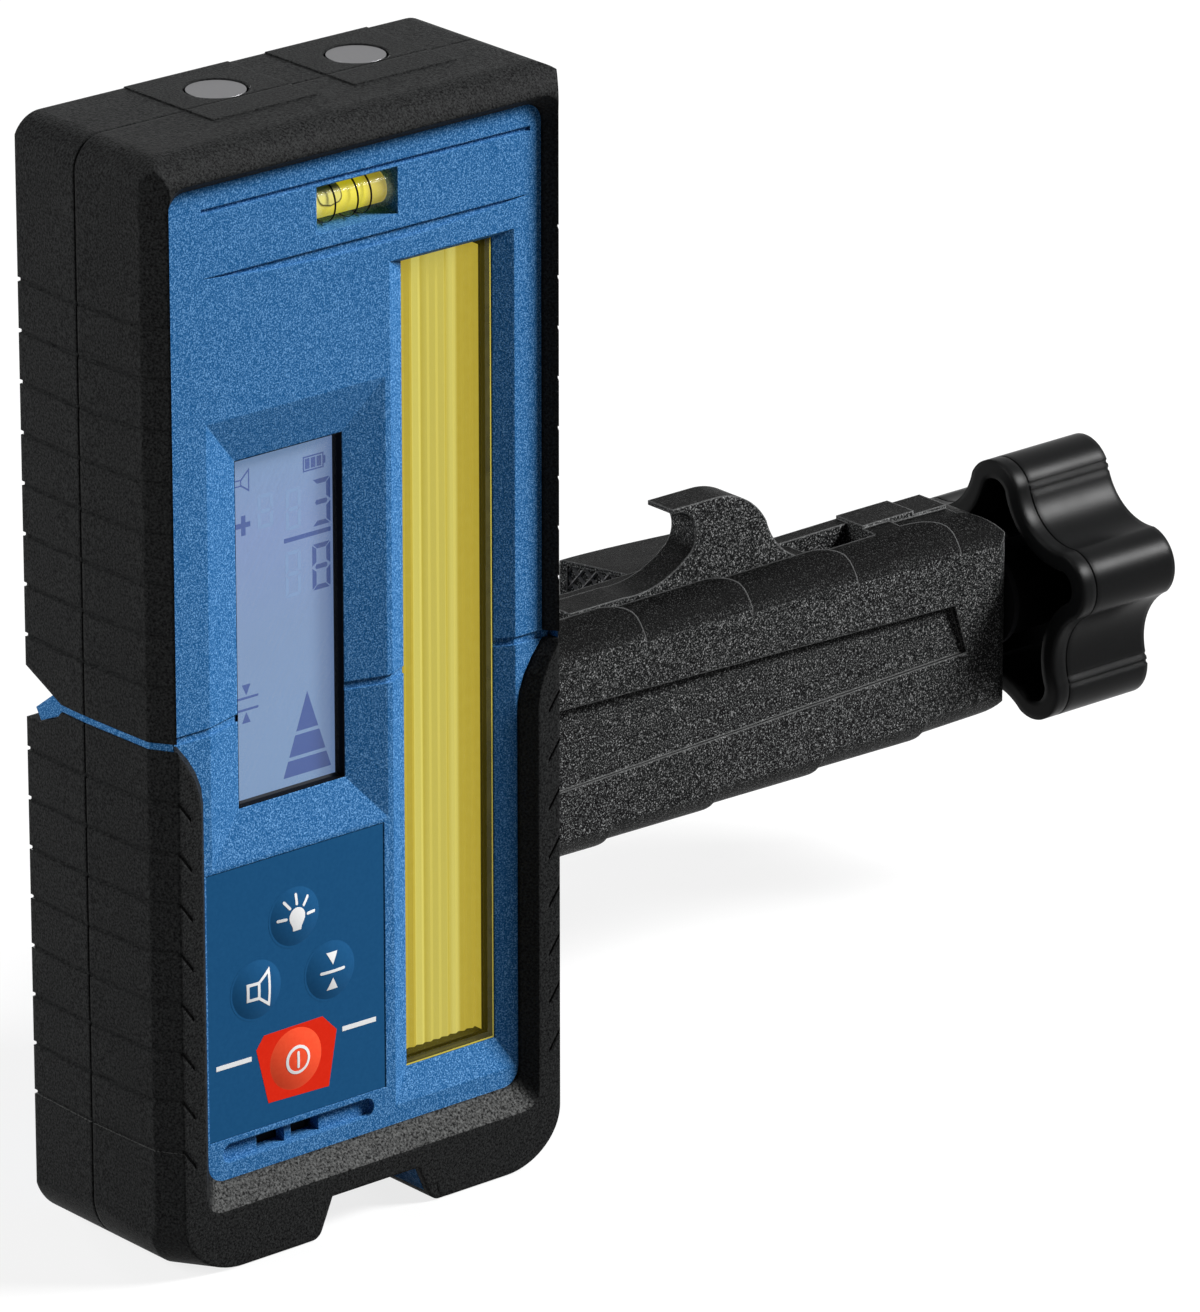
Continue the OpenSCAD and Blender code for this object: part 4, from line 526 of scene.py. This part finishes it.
def fillLoops(loops, step):
    points, edges = [], []
    for loop in loops:
        first = len(points)
        for (ax, az), (bx, bz) in zip(loop, loop[1:] + loop[:1]):
            parts = max(1, math.ceil(math.hypot(bx - ax, bz - az) / step))
            points += [(ax + (bx - ax) * i / parts, az + (bz - az) * i / parts) for i in range(parts)]
        last = len(points)
        edges += [(i, i + 1 if i + 1 < last else first) for i in range(first, last)]
    left, right = min(p[0] for p in points), max(p[0] for p in points)
    low, high = min(p[1] for p in points), max(p[1] for p in points)
    across, up = math.ceil((right - left) / step), math.ceil((high - low) / step)
    if across * up < fill["mostInner"]:
        inner = [(left + (i + 0.5) * step, low + (j + 0.5) * step) for i in range(across) for j in range(up)]
        points += [p for p in inner if inside(*p, loops)]
    spots, _, faces, _, _, _ = delaunay_2d_cdt([Vector(p) for p in points], edges, [], 0, fill["weld"])
    kept = []
    for face in faces:
        x = sum(spots[i].x for i in face) / 3
        z = sum(spots[i].y for i in face) / 3
        if inside(x, z, loops):
            kept.append(face)
    return spots, kept


def makePiece(name, build, body, skin, smooth=False):
    shape = bmesh.new()
    build(shape)
    bmesh.ops.recalc_face_normals(shape, faces=shape.faces)
    mesh = bpy.data.meshes.new(name)
    shape.to_mesh(mesh)
    shape.free()
    if smooth:
        mesh.polygons.foreach_set("use_smooth", [True] * len(mesh.polygons))
    mesh.materials.append(skin.material)
    piece = bpy.data.objects.new(name, mesh)
    bpy.context.scene.collection.objects.link(piece)
    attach(piece, body)
    return piece


# A print stands this far out of its surface, and reaches this far into it
printLift = 0.03
printSink = 0.04


# Thin raised print: shapes are lists of loops, an outline and its holes
def makePrint(name, shapes, surface, body, skin, step, lift=printLift):
    def build(shape):
        for loops in shapes:
            spots, faces = fillLoops(loops, step)
            front = [shape.verts.new(place(p.x, surface(p.x, p.y) - lift, p.y)) for p in spots]
            back = [shape.verts.new(place(p.x, surface(p.x, p.y) + printSink, p.y)) for p in spots]
            sides = {}
            for face in faces:
                shape.faces.new([front[i] for i in face])
                shape.faces.new([back[i] for i in reversed(face)])
                for a, b in zip(face, face[1:] + face[:1]):
                    sides[(a, b)] = True
            for a, b in sides:
                if (b, a) not in sides:
                    shape.faces.new([front[b], front[a], back[a], back[b]])
            for vert in front + back:
                if not vert.link_faces:
                    shape.verts.remove(vert)
    return makePiece(name, build, body, skin)


# Solid between two depths, the same outline all through
def addPrism(shape, loop, front, back):
    near, far = [[shape.verts.new(place(x, depth, z)) for x, z in loop] for depth in (front, back)]
    shape.faces.new(near)
    shape.faces.new(list(reversed(far)))
    for i in range(len(loop)):
        j = (i + 1) % len(loop)
        shape.faces.new([near[i], near[j], far[j], far[i]])


def rect(left, low, right, high):
    return [(left, low), (right, low), (right, high), (left, high)]


def ring(x, z, radius, count=40):
    turns = [2 * math.pi * i / count for i in range(count)]
    return [(x + radius * math.cos(t), z + radius * math.sin(t)) for t in turns]


# Straight stroke with rounded ends
def stroke(ax, az, bx, bz, width, count=6):
    turn = math.atan2(bz - az, bx - ax)
    ends = []
    for x, z, start in ((bx, bz, turn - math.pi / 2), (ax, az, turn + math.pi / 2)):
        for i in range(count + 1):
            t = start + math.pi * i / count
            ends.append((x + width / 2 * math.cos(t), z + width / 2 * math.sin(t)))
    return ends


def moved(loop, x, z):
    return [(a + x, b + z) for a, b in loop]


def flat(depth):
    return lambda x, z: depth


# Membrane's depth, height of a key's dome, and size of the triangles in its print
overlayDepth = 2.5
keyRise = 0.7
iconStep = 0.3


# Surface of a key's dome, and of the membrane around it
def dome(x, z, radius):
    bow = (radius ** 2 + keyRise ** 2) / (2 * keyRise)

    def surface(px, pz):
        reach = min(math.hypot(px - x, pz - z), radius)
        return overlayDepth - (math.sqrt(bow ** 2 - reach ** 2) - (bow - keyRise))
    return surface


lightIcon = {
    "at": (-13.1, 52.1), "radius": 4.7, "head": 1.5, "headUp": 0.1, "neck": -0.75,
    "foot": [(-0.78, -2.1), (0.78, -2.1), (0.85, -1.5)], "footEnd": (-0.85, -1.5),
    "rays": (0, 50, 90, 130, 180), "ray": (2.05, 3.45), "width": 0.46,
}
speakerIcon = {
    "at": (-20.5, 42.3), "radius": 4.7,
    "outer": [(-2.28, -1.45), (-0.1, -1.45), (2.28, -3.2), (2.28, 3.2), (-0.1, 1.45), (-2.28, 1.45)],
    "boxHole": rect(-1.8, -0.98, -0.28, 0.98),
    "coneHole": [(0.2, -1.12), (1.8, -2.28), (1.8, 2.28), (0.2, 1.12)],
}
levelIcon = {
    "at": (-6.4, 41.7), "radius": 4.7, "half": 2.15, "width": 0.46, "tip": 1.05, "base": 3.0, "wide": 1.05,
}
powerIcon = {"at": (-13.2, 29.2), "radius": 5.0, "outer": 2.3, "inner": 1.82, "bar": 1.15, "width": 0.46}


def drawLight():
    look = lightIcon
    head = [p for p in ring(0, look["headUp"], look["head"], 32) if p[1] > look["neck"]]
    head.sort(key=lambda p: (math.atan2(p[1], p[0]) + math.pi / 2) % (2 * math.pi))
    shapes = [[look["foot"] + head + [look["footEnd"]]]]
    for turn in look["rays"]:
        c, s = math.cos(math.radians(turn)), math.sin(math.radians(turn))
        (ax, az), (bx, bz) = [(reach * c, look["headUp"] + reach * s) for reach in look["ray"]]
        shapes.append([stroke(ax, az, bx, bz, look["width"])])
    return shapes


def drawSpeaker():
    return [[speakerIcon["outer"], speakerIcon["boxHole"], speakerIcon["coneHole"]]]


def drawLevel():
    look = levelIcon
    shapes = [[stroke(-look["half"], 0, look["half"], 0, look["width"])]]
    for side in (1, -1):
        base = side * look["base"]
        shapes.append([[(0, side * look["tip"]), (look["wide"], base), (-look["wide"], base)]])
    return shapes


def drawPower():
    look = powerIcon
    circle = [ring(0, 0, look["outer"]), ring(0, 0, look["inner"])]
    return [circle, [stroke(0, -look["bar"], 0, look["bar"], look["width"])]]


def makeKeyPrints():
    keys = (("light", lightIcon, drawLight), ("volume", speakerIcon, drawSpeaker),
            ("precision", levelIcon, drawLevel), ("power", powerIcon, drawPower))
    for name, look, draw in keys:
        x, z = look["at"]
        placed = [[moved(loop, x, z) for loop in loops] for loops in draw()]
        surface = dome(x, z, look["radius"])
        makePrint(name + "_print", placed, surface, name + "_key", whiteSkin, iconStep)


# Red field around the power key, white lines beside it, and the skirts of the blue keys
padLook = {
    "field": [(-19.2, 34.5), (-8.0, 34.6), (-5.3, 31.8), (-6.9, 23.0), (-18.5, 23.4), (-20.7, 32.5)],
    "lines": [(-28.3, 31.5, -21.6, 31.4), (-4.2, 31.5, 2.3, 31.4)], "lineHalf": 0.38,
    "lap": 0.06, "skirt": 0.3, "skirtLift": 0.02, "around": 64,
    "fieldStep": 1.5, "lineStep": 1.0, "skirtStep": 0.6,
}


def makePadPrints():
    look = padLook
    surface = flat(overlayDepth)
    x, z = powerIcon["at"]
    field = [look["field"], ring(x, z, powerIcon["radius"] - look["lap"], look["around"])]
    makePrint("power_field", [field], surface, "receiver", redSkin, look["fieldStep"])
    half = look["lineHalf"]
    lines = []
    for ax, az, bx, bz in look["lines"]:
        lines.append([[(ax, az - half), (bx, bz - half), (bx, bz + half), (ax, az + half)]])
    makePrint("pad_lines", lines, surface, "receiver", whiteSkin, look["lineStep"])
    skirts = []
    for key in (lightIcon, speakerIcon, levelIcon):
        x, z = key["at"]
        outer = ring(x, z, key["radius"] + look["skirt"], look["around"])
        skirts.append([outer, ring(x, z, key["radius"] - look["lap"], look["around"])])
    makePrint("key_skirts", skirts, surface, "receiver", keypadSkin,
              look["skirtStep"], look["skirtLift"])


# Shares of a bar's width
barForm = {"gap": 0.22, "slant": 0.8}


# Outlines of the bars that are lit in a seven-bar figure
def figure(x0, z0, x1, z1, width, lit):
    half = width / 2
    gap = width * barForm["gap"]
    slant = width * barForm["slant"]
    mid = (z0 + z1) / 2

    def level(z, lean):
        outer, inner = z + lean * half, z - lean * half
        return [(x0 + gap, outer), (x1 - gap, outer), (x1 - gap - width, inner), (x0 + gap + width, inner)]

    def upright(x, low, high, lean):
        outer, inner = x + lean * half, x - lean * half
        return [(outer, low + gap), (outer, high - gap),
                (inner, high - gap - slant), (inner, low + gap + slant)]
    bars = {
        "top": level(z1 - half, 1), "low": level(z0 + half, -1),
        "mid": [(x0 + gap + half, mid), (x0 + width, mid + half), (x1 - width, mid + half),
                (x1 - gap - half, mid), (x1 - width, mid - half), (x0 + width, mid - half)],
        "rightUp": upright(x1 - half, mid, z1, 1), "rightLow": upright(x1 - half, z0, mid, 1),
        "leftUp": upright(x0 + half, mid, z1, -1), "leftLow": upright(x0 + half, z0, mid, -1),
    }
    return [[bars[name]] for name in lit]


allBars = ("top", "low", "mid", "rightUp", "rightLow", "leftUp", "leftLow")
threeBars = ("top", "mid", "low", "rightUp", "rightLow")
# Marks on the glass as outlines; boxes are left, low, right, high
displayMarks = {
    "figures": (((-5.6, 110.7, -2.2, 118.0), threeBars), ((-5.7, 100.7, -2.3, 107.9), allBars)),
    "figureWide": 0.75,
    "ghosts": ((-15.9, 112.7, -13.0, 118.0), (-10.6, 111.2, -7.8, 117.6), (-10.8, 100.7, -7.9, 107.9)),
    "ghostWide": 0.6,
    "fraction": (-11.0, 109.35, -2.2, 110.05),
    "plus": ((-20.4, 113.6, -17.3, 114.4), (-19.0, 112.4, -18.2, 113.6), (-19.0, 114.4, -18.2, 115.5)),
    "speaker": (
        [(-20.4, 120.1), (-19.0, 120.1), (-17.4, 119.0), (-17.4, 122.7), (-19.0, 121.2), (-20.4, 121.2)],
        rect(-20.2, 120.3, -19.1, 121.0),
        [(-18.9, 120.35), (-17.6, 119.45), (-17.6, 122.2), (-18.9, 120.95)],
    ),
    "battery": {"box": (-7.3, 119.6, -3.4, 122.0), "wall": 0.22, "tip": 0.35, "shoulder": 0.6,
                "cells": (0.4, 1.5, 2.6), "cellWide": 0.85, "cellIn": 0.4},
    "beam": {"left": -11.6, "right": -2.55, "low": 72.35, "tip": (-6.95, 85.2),
             "rows": ((0.0, 0.195), (0.24, 0.495), (0.54, 1.0))},
    "centre": ((-20.6, 84.92, -16.2, 85.28), (-20.6, 86.77, -16.2, 87.13)),
    "arrows": ([(-18.45, 87.35), (-17.65, 89.05), (-19.25, 89.05)],
               [(-18.5, 84.7), (-17.7, 83.0), (-19.3, 83.0)]),
    "lift": 0.02, "ghostLift": 0.015, "step": 2.0,
}


def drawBattery(look):
    left, low, right, high = look["box"]
    wall, tip, shoulder = look["wall"], right + look["tip"], look["shoulder"]
    case = [(left, low), (right, low), (right, low + shoulder), (tip, low + shoulder), (tip, high - shoulder),
            (right, high - shoulder), (right, high), (left, high)]
    shapes = [[case, rect(left + wall, low + wall, right - wall, high - wall)]]
    for start in look["cells"]:
        x = left + start
        shapes.append([rect(x, low + look["cellIn"], x + look["cellWide"], high - look["cellIn"])])
    return shapes


# Triangle cut into rows, with a plain tip at the top
def drawBeam(look):
    tipX, tipZ = look["tip"]
    shapes = []
    for start, stop in look["rows"]:
        edges = []
        for share in (start, stop):
            z = look["low"] + (tipZ - look["low"]) * share
            edges.append([(side + (tipX - side) * share, z) for side in (look["left"], look["right"])])
        lower, upper = edges
        shapes.append([lower + ([upper[1], upper[0]] if stop < 1 else [look["tip"]])])
    return shapes


def makeDisplayMarks():
    look = displayMarks
    surface = flat(display["face"])
    marks = []
    for box, bars in look["figures"]:
        marks += figure(*box, look["figureWide"], bars)
    marks += [[rect(*box)] for box in (look["fraction"], *look["plus"])]
    marks.append(list(look["speaker"]))
    marks += drawBattery(look["battery"]) + drawBeam(look["beam"])
    marks += [[rect(*box)] for box in look["centre"]] + [[arrow] for arrow in look["arrows"]]
    makePrint("display_marks", marks, surface, "receiver", segmentSkin,
              look["step"], look["lift"])
    ghosts = []
    for box in look["ghosts"]:
        ghosts += figure(*box, look["ghostWide"], allBars)
    makePrint("display_ghosts", ghosts, surface, "receiver", ghostSkin,
              look["step"], look["ghostLift"])


liner = {"wall": 0.12, "inset": 0.02}


# Black liner on the four walls of the display opening
def makeLiner():
    wall, inset = liner["wall"], liner["inset"]
    left, right, low, high = [display[side] for side in ("left", "right", "low", "high")]

    def build(shape):
        outer = rect(left, low, right, high)
        inner = rect(left + wall, low + wall, right - wall, high - wall)
        rows = [[shape.verts.new(place(x, depth, z)) for x, z in loop]
                for depth in (display["front"] + inset, display["back"] - inset) for loop in (outer, inner)]
        frontOut, frontIn, backOut, backIn = rows
        for i in range(4):
            j = (i + 1) % 4
            shape.faces.new([frontOut[i], frontOut[j], frontIn[j], frontIn[i]])
            shape.faces.new([backOut[j], backOut[i], backIn[i], backIn[j]])
            shape.faces.new([frontIn[i], frontIn[j], backIn[j], backIn[i]])
            shape.faces.new([frontOut[j], frontOut[i], backOut[i], backOut[j]])
    makePiece("display_liner", build, "receiver", inkSkin)


vial = {
    "depth": 6.2, "z": 161.1, "radius": 3.43, "rings": (-3.75, 0.5, 3.0), "ringWide": 0.3,
    "ringReach": (-0.05, 0.02), "around": 48,
}
# Bubble: middle and half length; radius, share of the length, and turn in degrees of its two patches
bubble = {"middle": -4.0, "half": 2.3, "edge": (2.63, 1.0, -8, 92), "pale": (2.68, 0.9, -2, 88),
          "rows": 12, "columns": 8, "weld": 1e-6, "least": 1e-7}


def onVial(x, turn, radius):
    t = math.radians(turn)
    return place(x, vial["depth"] - radius * math.cos(t), vial["z"] + radius * math.sin(t))


def makeVialRings():
    half = vial["ringWide"] / 2
    sunk, proud = vial["ringReach"]
    corners = ((-half, sunk), (-half, proud), (half, proud), (half, sunk))

    def build(shape):
        for x in vial["rings"]:
            rows = []
            for i in range(vial["around"]):
                turn = 360 * i / vial["around"]
                spots = [onVial(x + dx, turn, vial["radius"] + dr) for dx, dr in corners]
                rows.append([shape.verts.new(spot) for spot in spots])
            for row, following in zip(rows, rows[1:] + rows[:1]):
                for i in range(4):
                    j = (i + 1) % 4
                    shape.faces.new([row[i], row[j], following[j], following[i]])
    makePiece("vial_rings", build, "receiver", inkSkin, True)


# The bubble shows as a pale patch with a dark outline under the glass
def makeBubble():
    look = bubble
    columns = look["columns"]

    def patch(radius, scale, low, high):
        def build(shape):
            rows = []
            for i in range(look["rows"] + 1):
                share = i / look["rows"]
                turn = low + (high - low) * share
                wide = look["half"] * scale * math.sqrt(max(0.0, 1 - (2 * share - 1) ** 4))
                spots = [look["middle"] - wide + 2 * wide * j / columns for j in range(columns + 1)]
                rows.append([shape.verts.new(onVial(x, turn, radius)) for x in spots])
            for row, following in zip(rows, rows[1:]):
                for j in range(columns):
                    gaps = [(line[j].co - line[j + 1].co).length for line in (row, following)]
                    if max(gaps) > look["least"]:
                        shape.faces.new([row[j], row[j + 1], following[j + 1], following[j]])
            bmesh.ops.remove_doubles(shape, verts=shape.verts, dist=look["weld"])
        return build
    makePiece("bubble_edge", patch(*look["edge"]), "receiver", bubbleEdgeSkin, True)
    makePiece("bubble", patch(*look["pale"]), "receiver", bubbleSkin, True)


# Gripping face of the jaw: where it is, how it leans, and the ridges on it
grip = {
    "x": 96, "front": 49.3, "lean": 5.5, "reach": 14.5, "low": 35, "high": 67.4, "rim": 1.4, "sink": 0.7,
    "pitch": 2.3, "slope": 1.25, "half": 0.42, "rise": 0.55, "root": -0.05, "shortest": 0.6,
}


# Diamond ridges on the sunk gripping face
def makeKnurl():
    look = grip
    run, rim, half, slope = look["reach"], look["rim"], look["half"], look["slope"]
    long = math.hypot(run, look["lean"]) - 2 * rim
    tall = look["high"] - look["low"] - 2 * rim
    inward = Vector((-look["lean"], run, 0)).normalized()
    out = Vector((-run, -look["lean"], 0)).normalized()
    base = place(look["x"], look["front"], look["low"] + rim) + (inward * rim - out * look["sink"]) * mm
    profile = ((-half, look["root"]), (0, look["rise"]), (half, look["root"]))

    def spot(s, z, height):
        return base + (inward * s + Vector((0, 0, z)) + out * height) * mm

    # Ends of one ridge, cut off at the face's lower and upper edge
    def ridgeEnds(start, side):
        ends = [(s, start + slope * (s if side > 0 else long - s)) for s in (0.0, long)]
        low, high = sorted(ends, key=lambda p: p[1])
        if high[1] <= 0 or low[1] >= tall:
            return None
        cut = []
        for z in (max(low[1], 0.0), min(high[1], tall)):
            share = (z - low[1]) / (high[1] - low[1])
            cut.append((low[0] + (high[0] - low[0]) * share, z))
        (s0, z0), (s1, z1) = cut
        return cut if math.hypot(s1 - s0, z1 - z0) >= look["shortest"] else None

    def build(shape):
        count = math.ceil((long * slope + tall) / (look["pitch"] * slope)) + 2
        for side in (1, -1):
            for i in range(-count, count):
                cut = ridgeEnds(i * look["pitch"] * slope, side)
                if not cut:
                    continue
                a, b = [[shape.verts.new(spot(s, z + dz, height)) for dz, height in profile] for s, z in cut]
                for j, k in ((0, 1), (1, 2), (2, 0)):
                    shape.faces.new([a[j], a[k], b[k], b[j]])
                shape.faces.new(a)
                shape.faces.new(list(reversed(b)))
    makePiece("jaw_knurl", build, "jaw", ridgeSkin)


# Screw thread along the clamp's screw; flank holds the steepness and the width of its root
thread = {
    "depth": 42, "z": 50, "from": 41, "to": 179, "crest": 3.98, "root": 3.3, "pitch": 4, "flank": (2.6, 0.8),
    "around": 24, "perPitch": 12,
}


def makeThread():
    look = thread
    start, length = look["from"], look["to"] - look["from"]
    around = look["around"]
    steep, floor = look["flank"]

    def build(shape):
        steps = int(length / look["pitch"] * look["perPitch"])
        rows = []
        for i in range(steps + 1):
            x = start + length * i / steps
            row = []
            for j in range(around):
                share = ((x - start) / look["pitch"] + j / around) % 1
                wave = min(1.0, max(0.0, steep * abs(2 * share - 1) - floor))
                radius = look["root"] + (look["crest"] - look["root"]) * wave
                turn = 2 * math.pi * j / around
                depth, z = look["depth"] + radius * math.cos(turn), look["z"] + radius * math.sin(turn)
                row.append(shape.verts.new(place(x, depth, z)))
            rows.append(row)
        for row, following in zip(rows, rows[1:]):
            for j in range(around):
                k = (j + 1) % around
                shape.faces.new([row[j], row[k], following[k], following[j]])
        shape.faces.new(list(reversed(rows[0])))
        shape.faces.new(rows[-1])
    piece = makePiece("lead_thread", build, "knob", steelSkin, True)
    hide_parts("lead_screw")


# Notch in the base: half width, lean of its walls over their height, radius of the feet
notch = {
    "half": 11, "lean": 2.6, "tall": 6.2, "radius": 2, "steps": 12, "lift": 0.01, "lap": 0.3, "cover": 0.6,
    "coverUp": 0.25, "inset": 0.02, "liner": (1.5, 6.1), "linerDepth": (1.2, 31.8), "linerOut": (0.03, -0.05),
}


# Rounded corners of the feet at the notch, and the blue shell that shows on its walls
def makeNotch():
    look = notch
    half, radius, lift, cover = look["half"], look["radius"], look["lift"], look["cover"]
    slope = math.atan2(look["lean"], look["tall"])
    near = radius / math.tan(math.pi / 4 + slope / 2)
    far = radius / math.tan(math.pi / 4 - slope / 2)
    wallX, wallZ = half - far * math.sin(slope), far * math.cos(slope)
    corner = [(wallX, wallZ)]
    for i in range(look["steps"] + 1):
        turn = math.pi + slope + (math.pi / 2 - slope) * i / look["steps"]
        corner.append((half + near + radius * math.cos(turn), radius + lift + radius * math.sin(turn)))
    end = half + far + look["lap"]
    corner += [(end, lift), (end, radius + cover), (wallX + cover, wallZ + look["coverUp"])]
    low, high = look["liner"]
    proud, sunk = look["linerOut"]
    lining = []
    for z, out in ((low, proud), (high, proud), (high, sunk), (low, sunk)):
        wall = half - look["lean"] * z / look["tall"]
        lining.append((wall - out * math.cos(slope), z - out * math.sin(slope)))

    def bothSides(loop, front, back):
        def build(shape):
            for side in (1, -1):
                addPrism(shape, [(side * x, z) for x, z in loop], front, back)
        return build
    corners = bothSides(corner, look["inset"], bodyDepth - look["inset"])
    makePiece("foot_corners", corners, "receiver", rubberSkin)
    makePiece("notch_liner", bothSides(lining, *look["linerDepth"]), "receiver", blueSkin)


trayEdge = {
    "left": 10.65, "right": 25.55, "front": 5.25, "lit": 5.6, "back": 9.1,
    "low": 22.45, "high": 148.1, "wall": 0.05,
}


# Sheets on the inner walls of the yellow tray: painted shade in front, and a painted glow behind where the
# strip would light them
def makeTrayWalls():
    look = trayEdge
    left, right, low, high = [look[name] for name in ("left", "right", "low", "high")]
    side = rect(right - look["wall"], low, right, high)
    below = rect(left, low - look["wall"], right, low)

    def shaded(shape):
        addPrism(shape, side, look["front"], look["lit"])
        addPrism(shape, below, look["front"], look["back"])

    def lit(shape):
        addPrism(shape, side, look["lit"], look["back"])
    makePiece("tray_walls_shaded", shaded, "receiver", oliveSkin)
    makePiece("tray_wall_lit", lit, "receiver", lensSkin)


makeKeyPrints()
makePadPrints()
makeDisplayMarks()
makeLiner()
makeVialRings()
makeBubble()
makeKnurl()
makeThread()
makeTrayWalls()
makeNotch()
print("prints and fittings added")

# Camera at the photograph's angle
view = {
    "aim": (44.45, 0, 80.05), "yaw": 40.49, "pitch": 20.63, "distance": 1537.4, "focalPixels": 10187.7,
    "tall": 1312, "sensor": 36, "farthest": 20,
}


def makeCamera():
    camera = bpy.data.cameras.new("camera")
    camera.sensor_width = view["sensor"]
    camera.lens = view["focalPixels"] * camera.sensor_width / view["tall"]
    camera.clip_end = view["farthest"]
    holder = bpy.data.objects.new("camera", camera)
    yaw, pitch = math.radians(view["yaw"]), math.radians(view["pitch"])
    away = Vector((-math.sin(yaw) * math.cos(pitch), -math.cos(yaw) * math.cos(pitch), math.sin(pitch)))
    aim = place(*view["aim"])
    holder.location = aim + away * view["distance"] * mm
    holder.rotation_euler = (-away).to_track_quat("-Z", "Y").to_euler()
    bpy.context.scene.collection.objects.link(holder)
    bpy.context.scene.camera = holder


# Key light from the right and above, softer ones from the left and from behind
studio = {
    "worldPale": 0.8,
    "worldStrength": 0.06,
    "lamps": [
        {"name": "keyLamp", "at": (1.17, -0.79, 1.07), "size": 0.5, "watts": 55},
        {"name": "leftLamp", "at": (-1.2, 0.45, 0.75), "size": 0.7, "watts": 17},
        {"name": "rearLamp", "at": (0.3, 1.6, 0.14), "size": 0.25, "watts": 22},
    ],
    "lampAim": (40, 20, 80),
    "floorHalf": 6,
    "floorDrop": 0.0002,
    "floorPaper": 0.9,
    "floorWhite": 0.8,
    "floorDim": 0.12,
}


def makeWorld():
    world = bpy.data.worlds.new("studio")
    bpy.context.scene.world = world
    sky = Finish("studio", world)
    dim = studio["worldStrength"]
    pale = grey(studio["worldPale"])
    sky.close(sky.add("ShaderNodeBackground", {}, {"Color": pale, "Strength": dim + sky.seen() * (1 - dim)}))


def makeLamps():
    middle = place(*studio["lampAim"])
    for lamp in studio["lamps"]:
        light = bpy.data.lights.new(lamp["name"], "AREA")
        light.size = lamp["size"]
        light.energy = lamp["watts"]
        holder = bpy.data.objects.new(lamp["name"], light)
        holder.location = lamp["at"]
        holder.rotation_euler = (middle - holder.location).to_track_quat("-Z", "Y").to_euler()
        bpy.context.scene.collection.objects.link(holder)


# White where it is seen or mirrored, dim where it lights the object
def makeFloor():
    half = studio["floorHalf"]
    mesh = bpy.data.meshes.new("floor")
    mesh.from_pydata([(x, y, 0) for x, y in rect(-half, -half, half, half)], [], [(0, 1, 2, 3)])
    floor = bpy.data.objects.new("floor", mesh)
    floor.location.z = -studio["floorDrop"]
    bpy.context.scene.collection.objects.link(floor)
    paper = Finish("floor_paper")
    dim = paper.add("ShaderNodeBsdfDiffuse", {}, {"Color": grey(studio["floorDim"])})
    plain = paper.add("ShaderNodeBsdfDiffuse", {}, {"Color": grey(studio["floorPaper"])})
    white = paper.add("ShaderNodeEmission", {}, {"Color": grey(1), "Strength": 1.0})
    bright = paper.add("ShaderNodeMixShader", {}, {0: studio["floorWhite"], 1: plain, 2: white})
    paper.close(paper.add("ShaderNodeMixShader", {}, {0: paper.seen(), 1: dim, 2: bright}))
    mesh.materials.append(paper.material)


makeCamera()
makeWorld()
makeLamps()
makeFloor()
bpy.context.scene.view_settings.view_transform = "Standard"
print("camera and studio set")
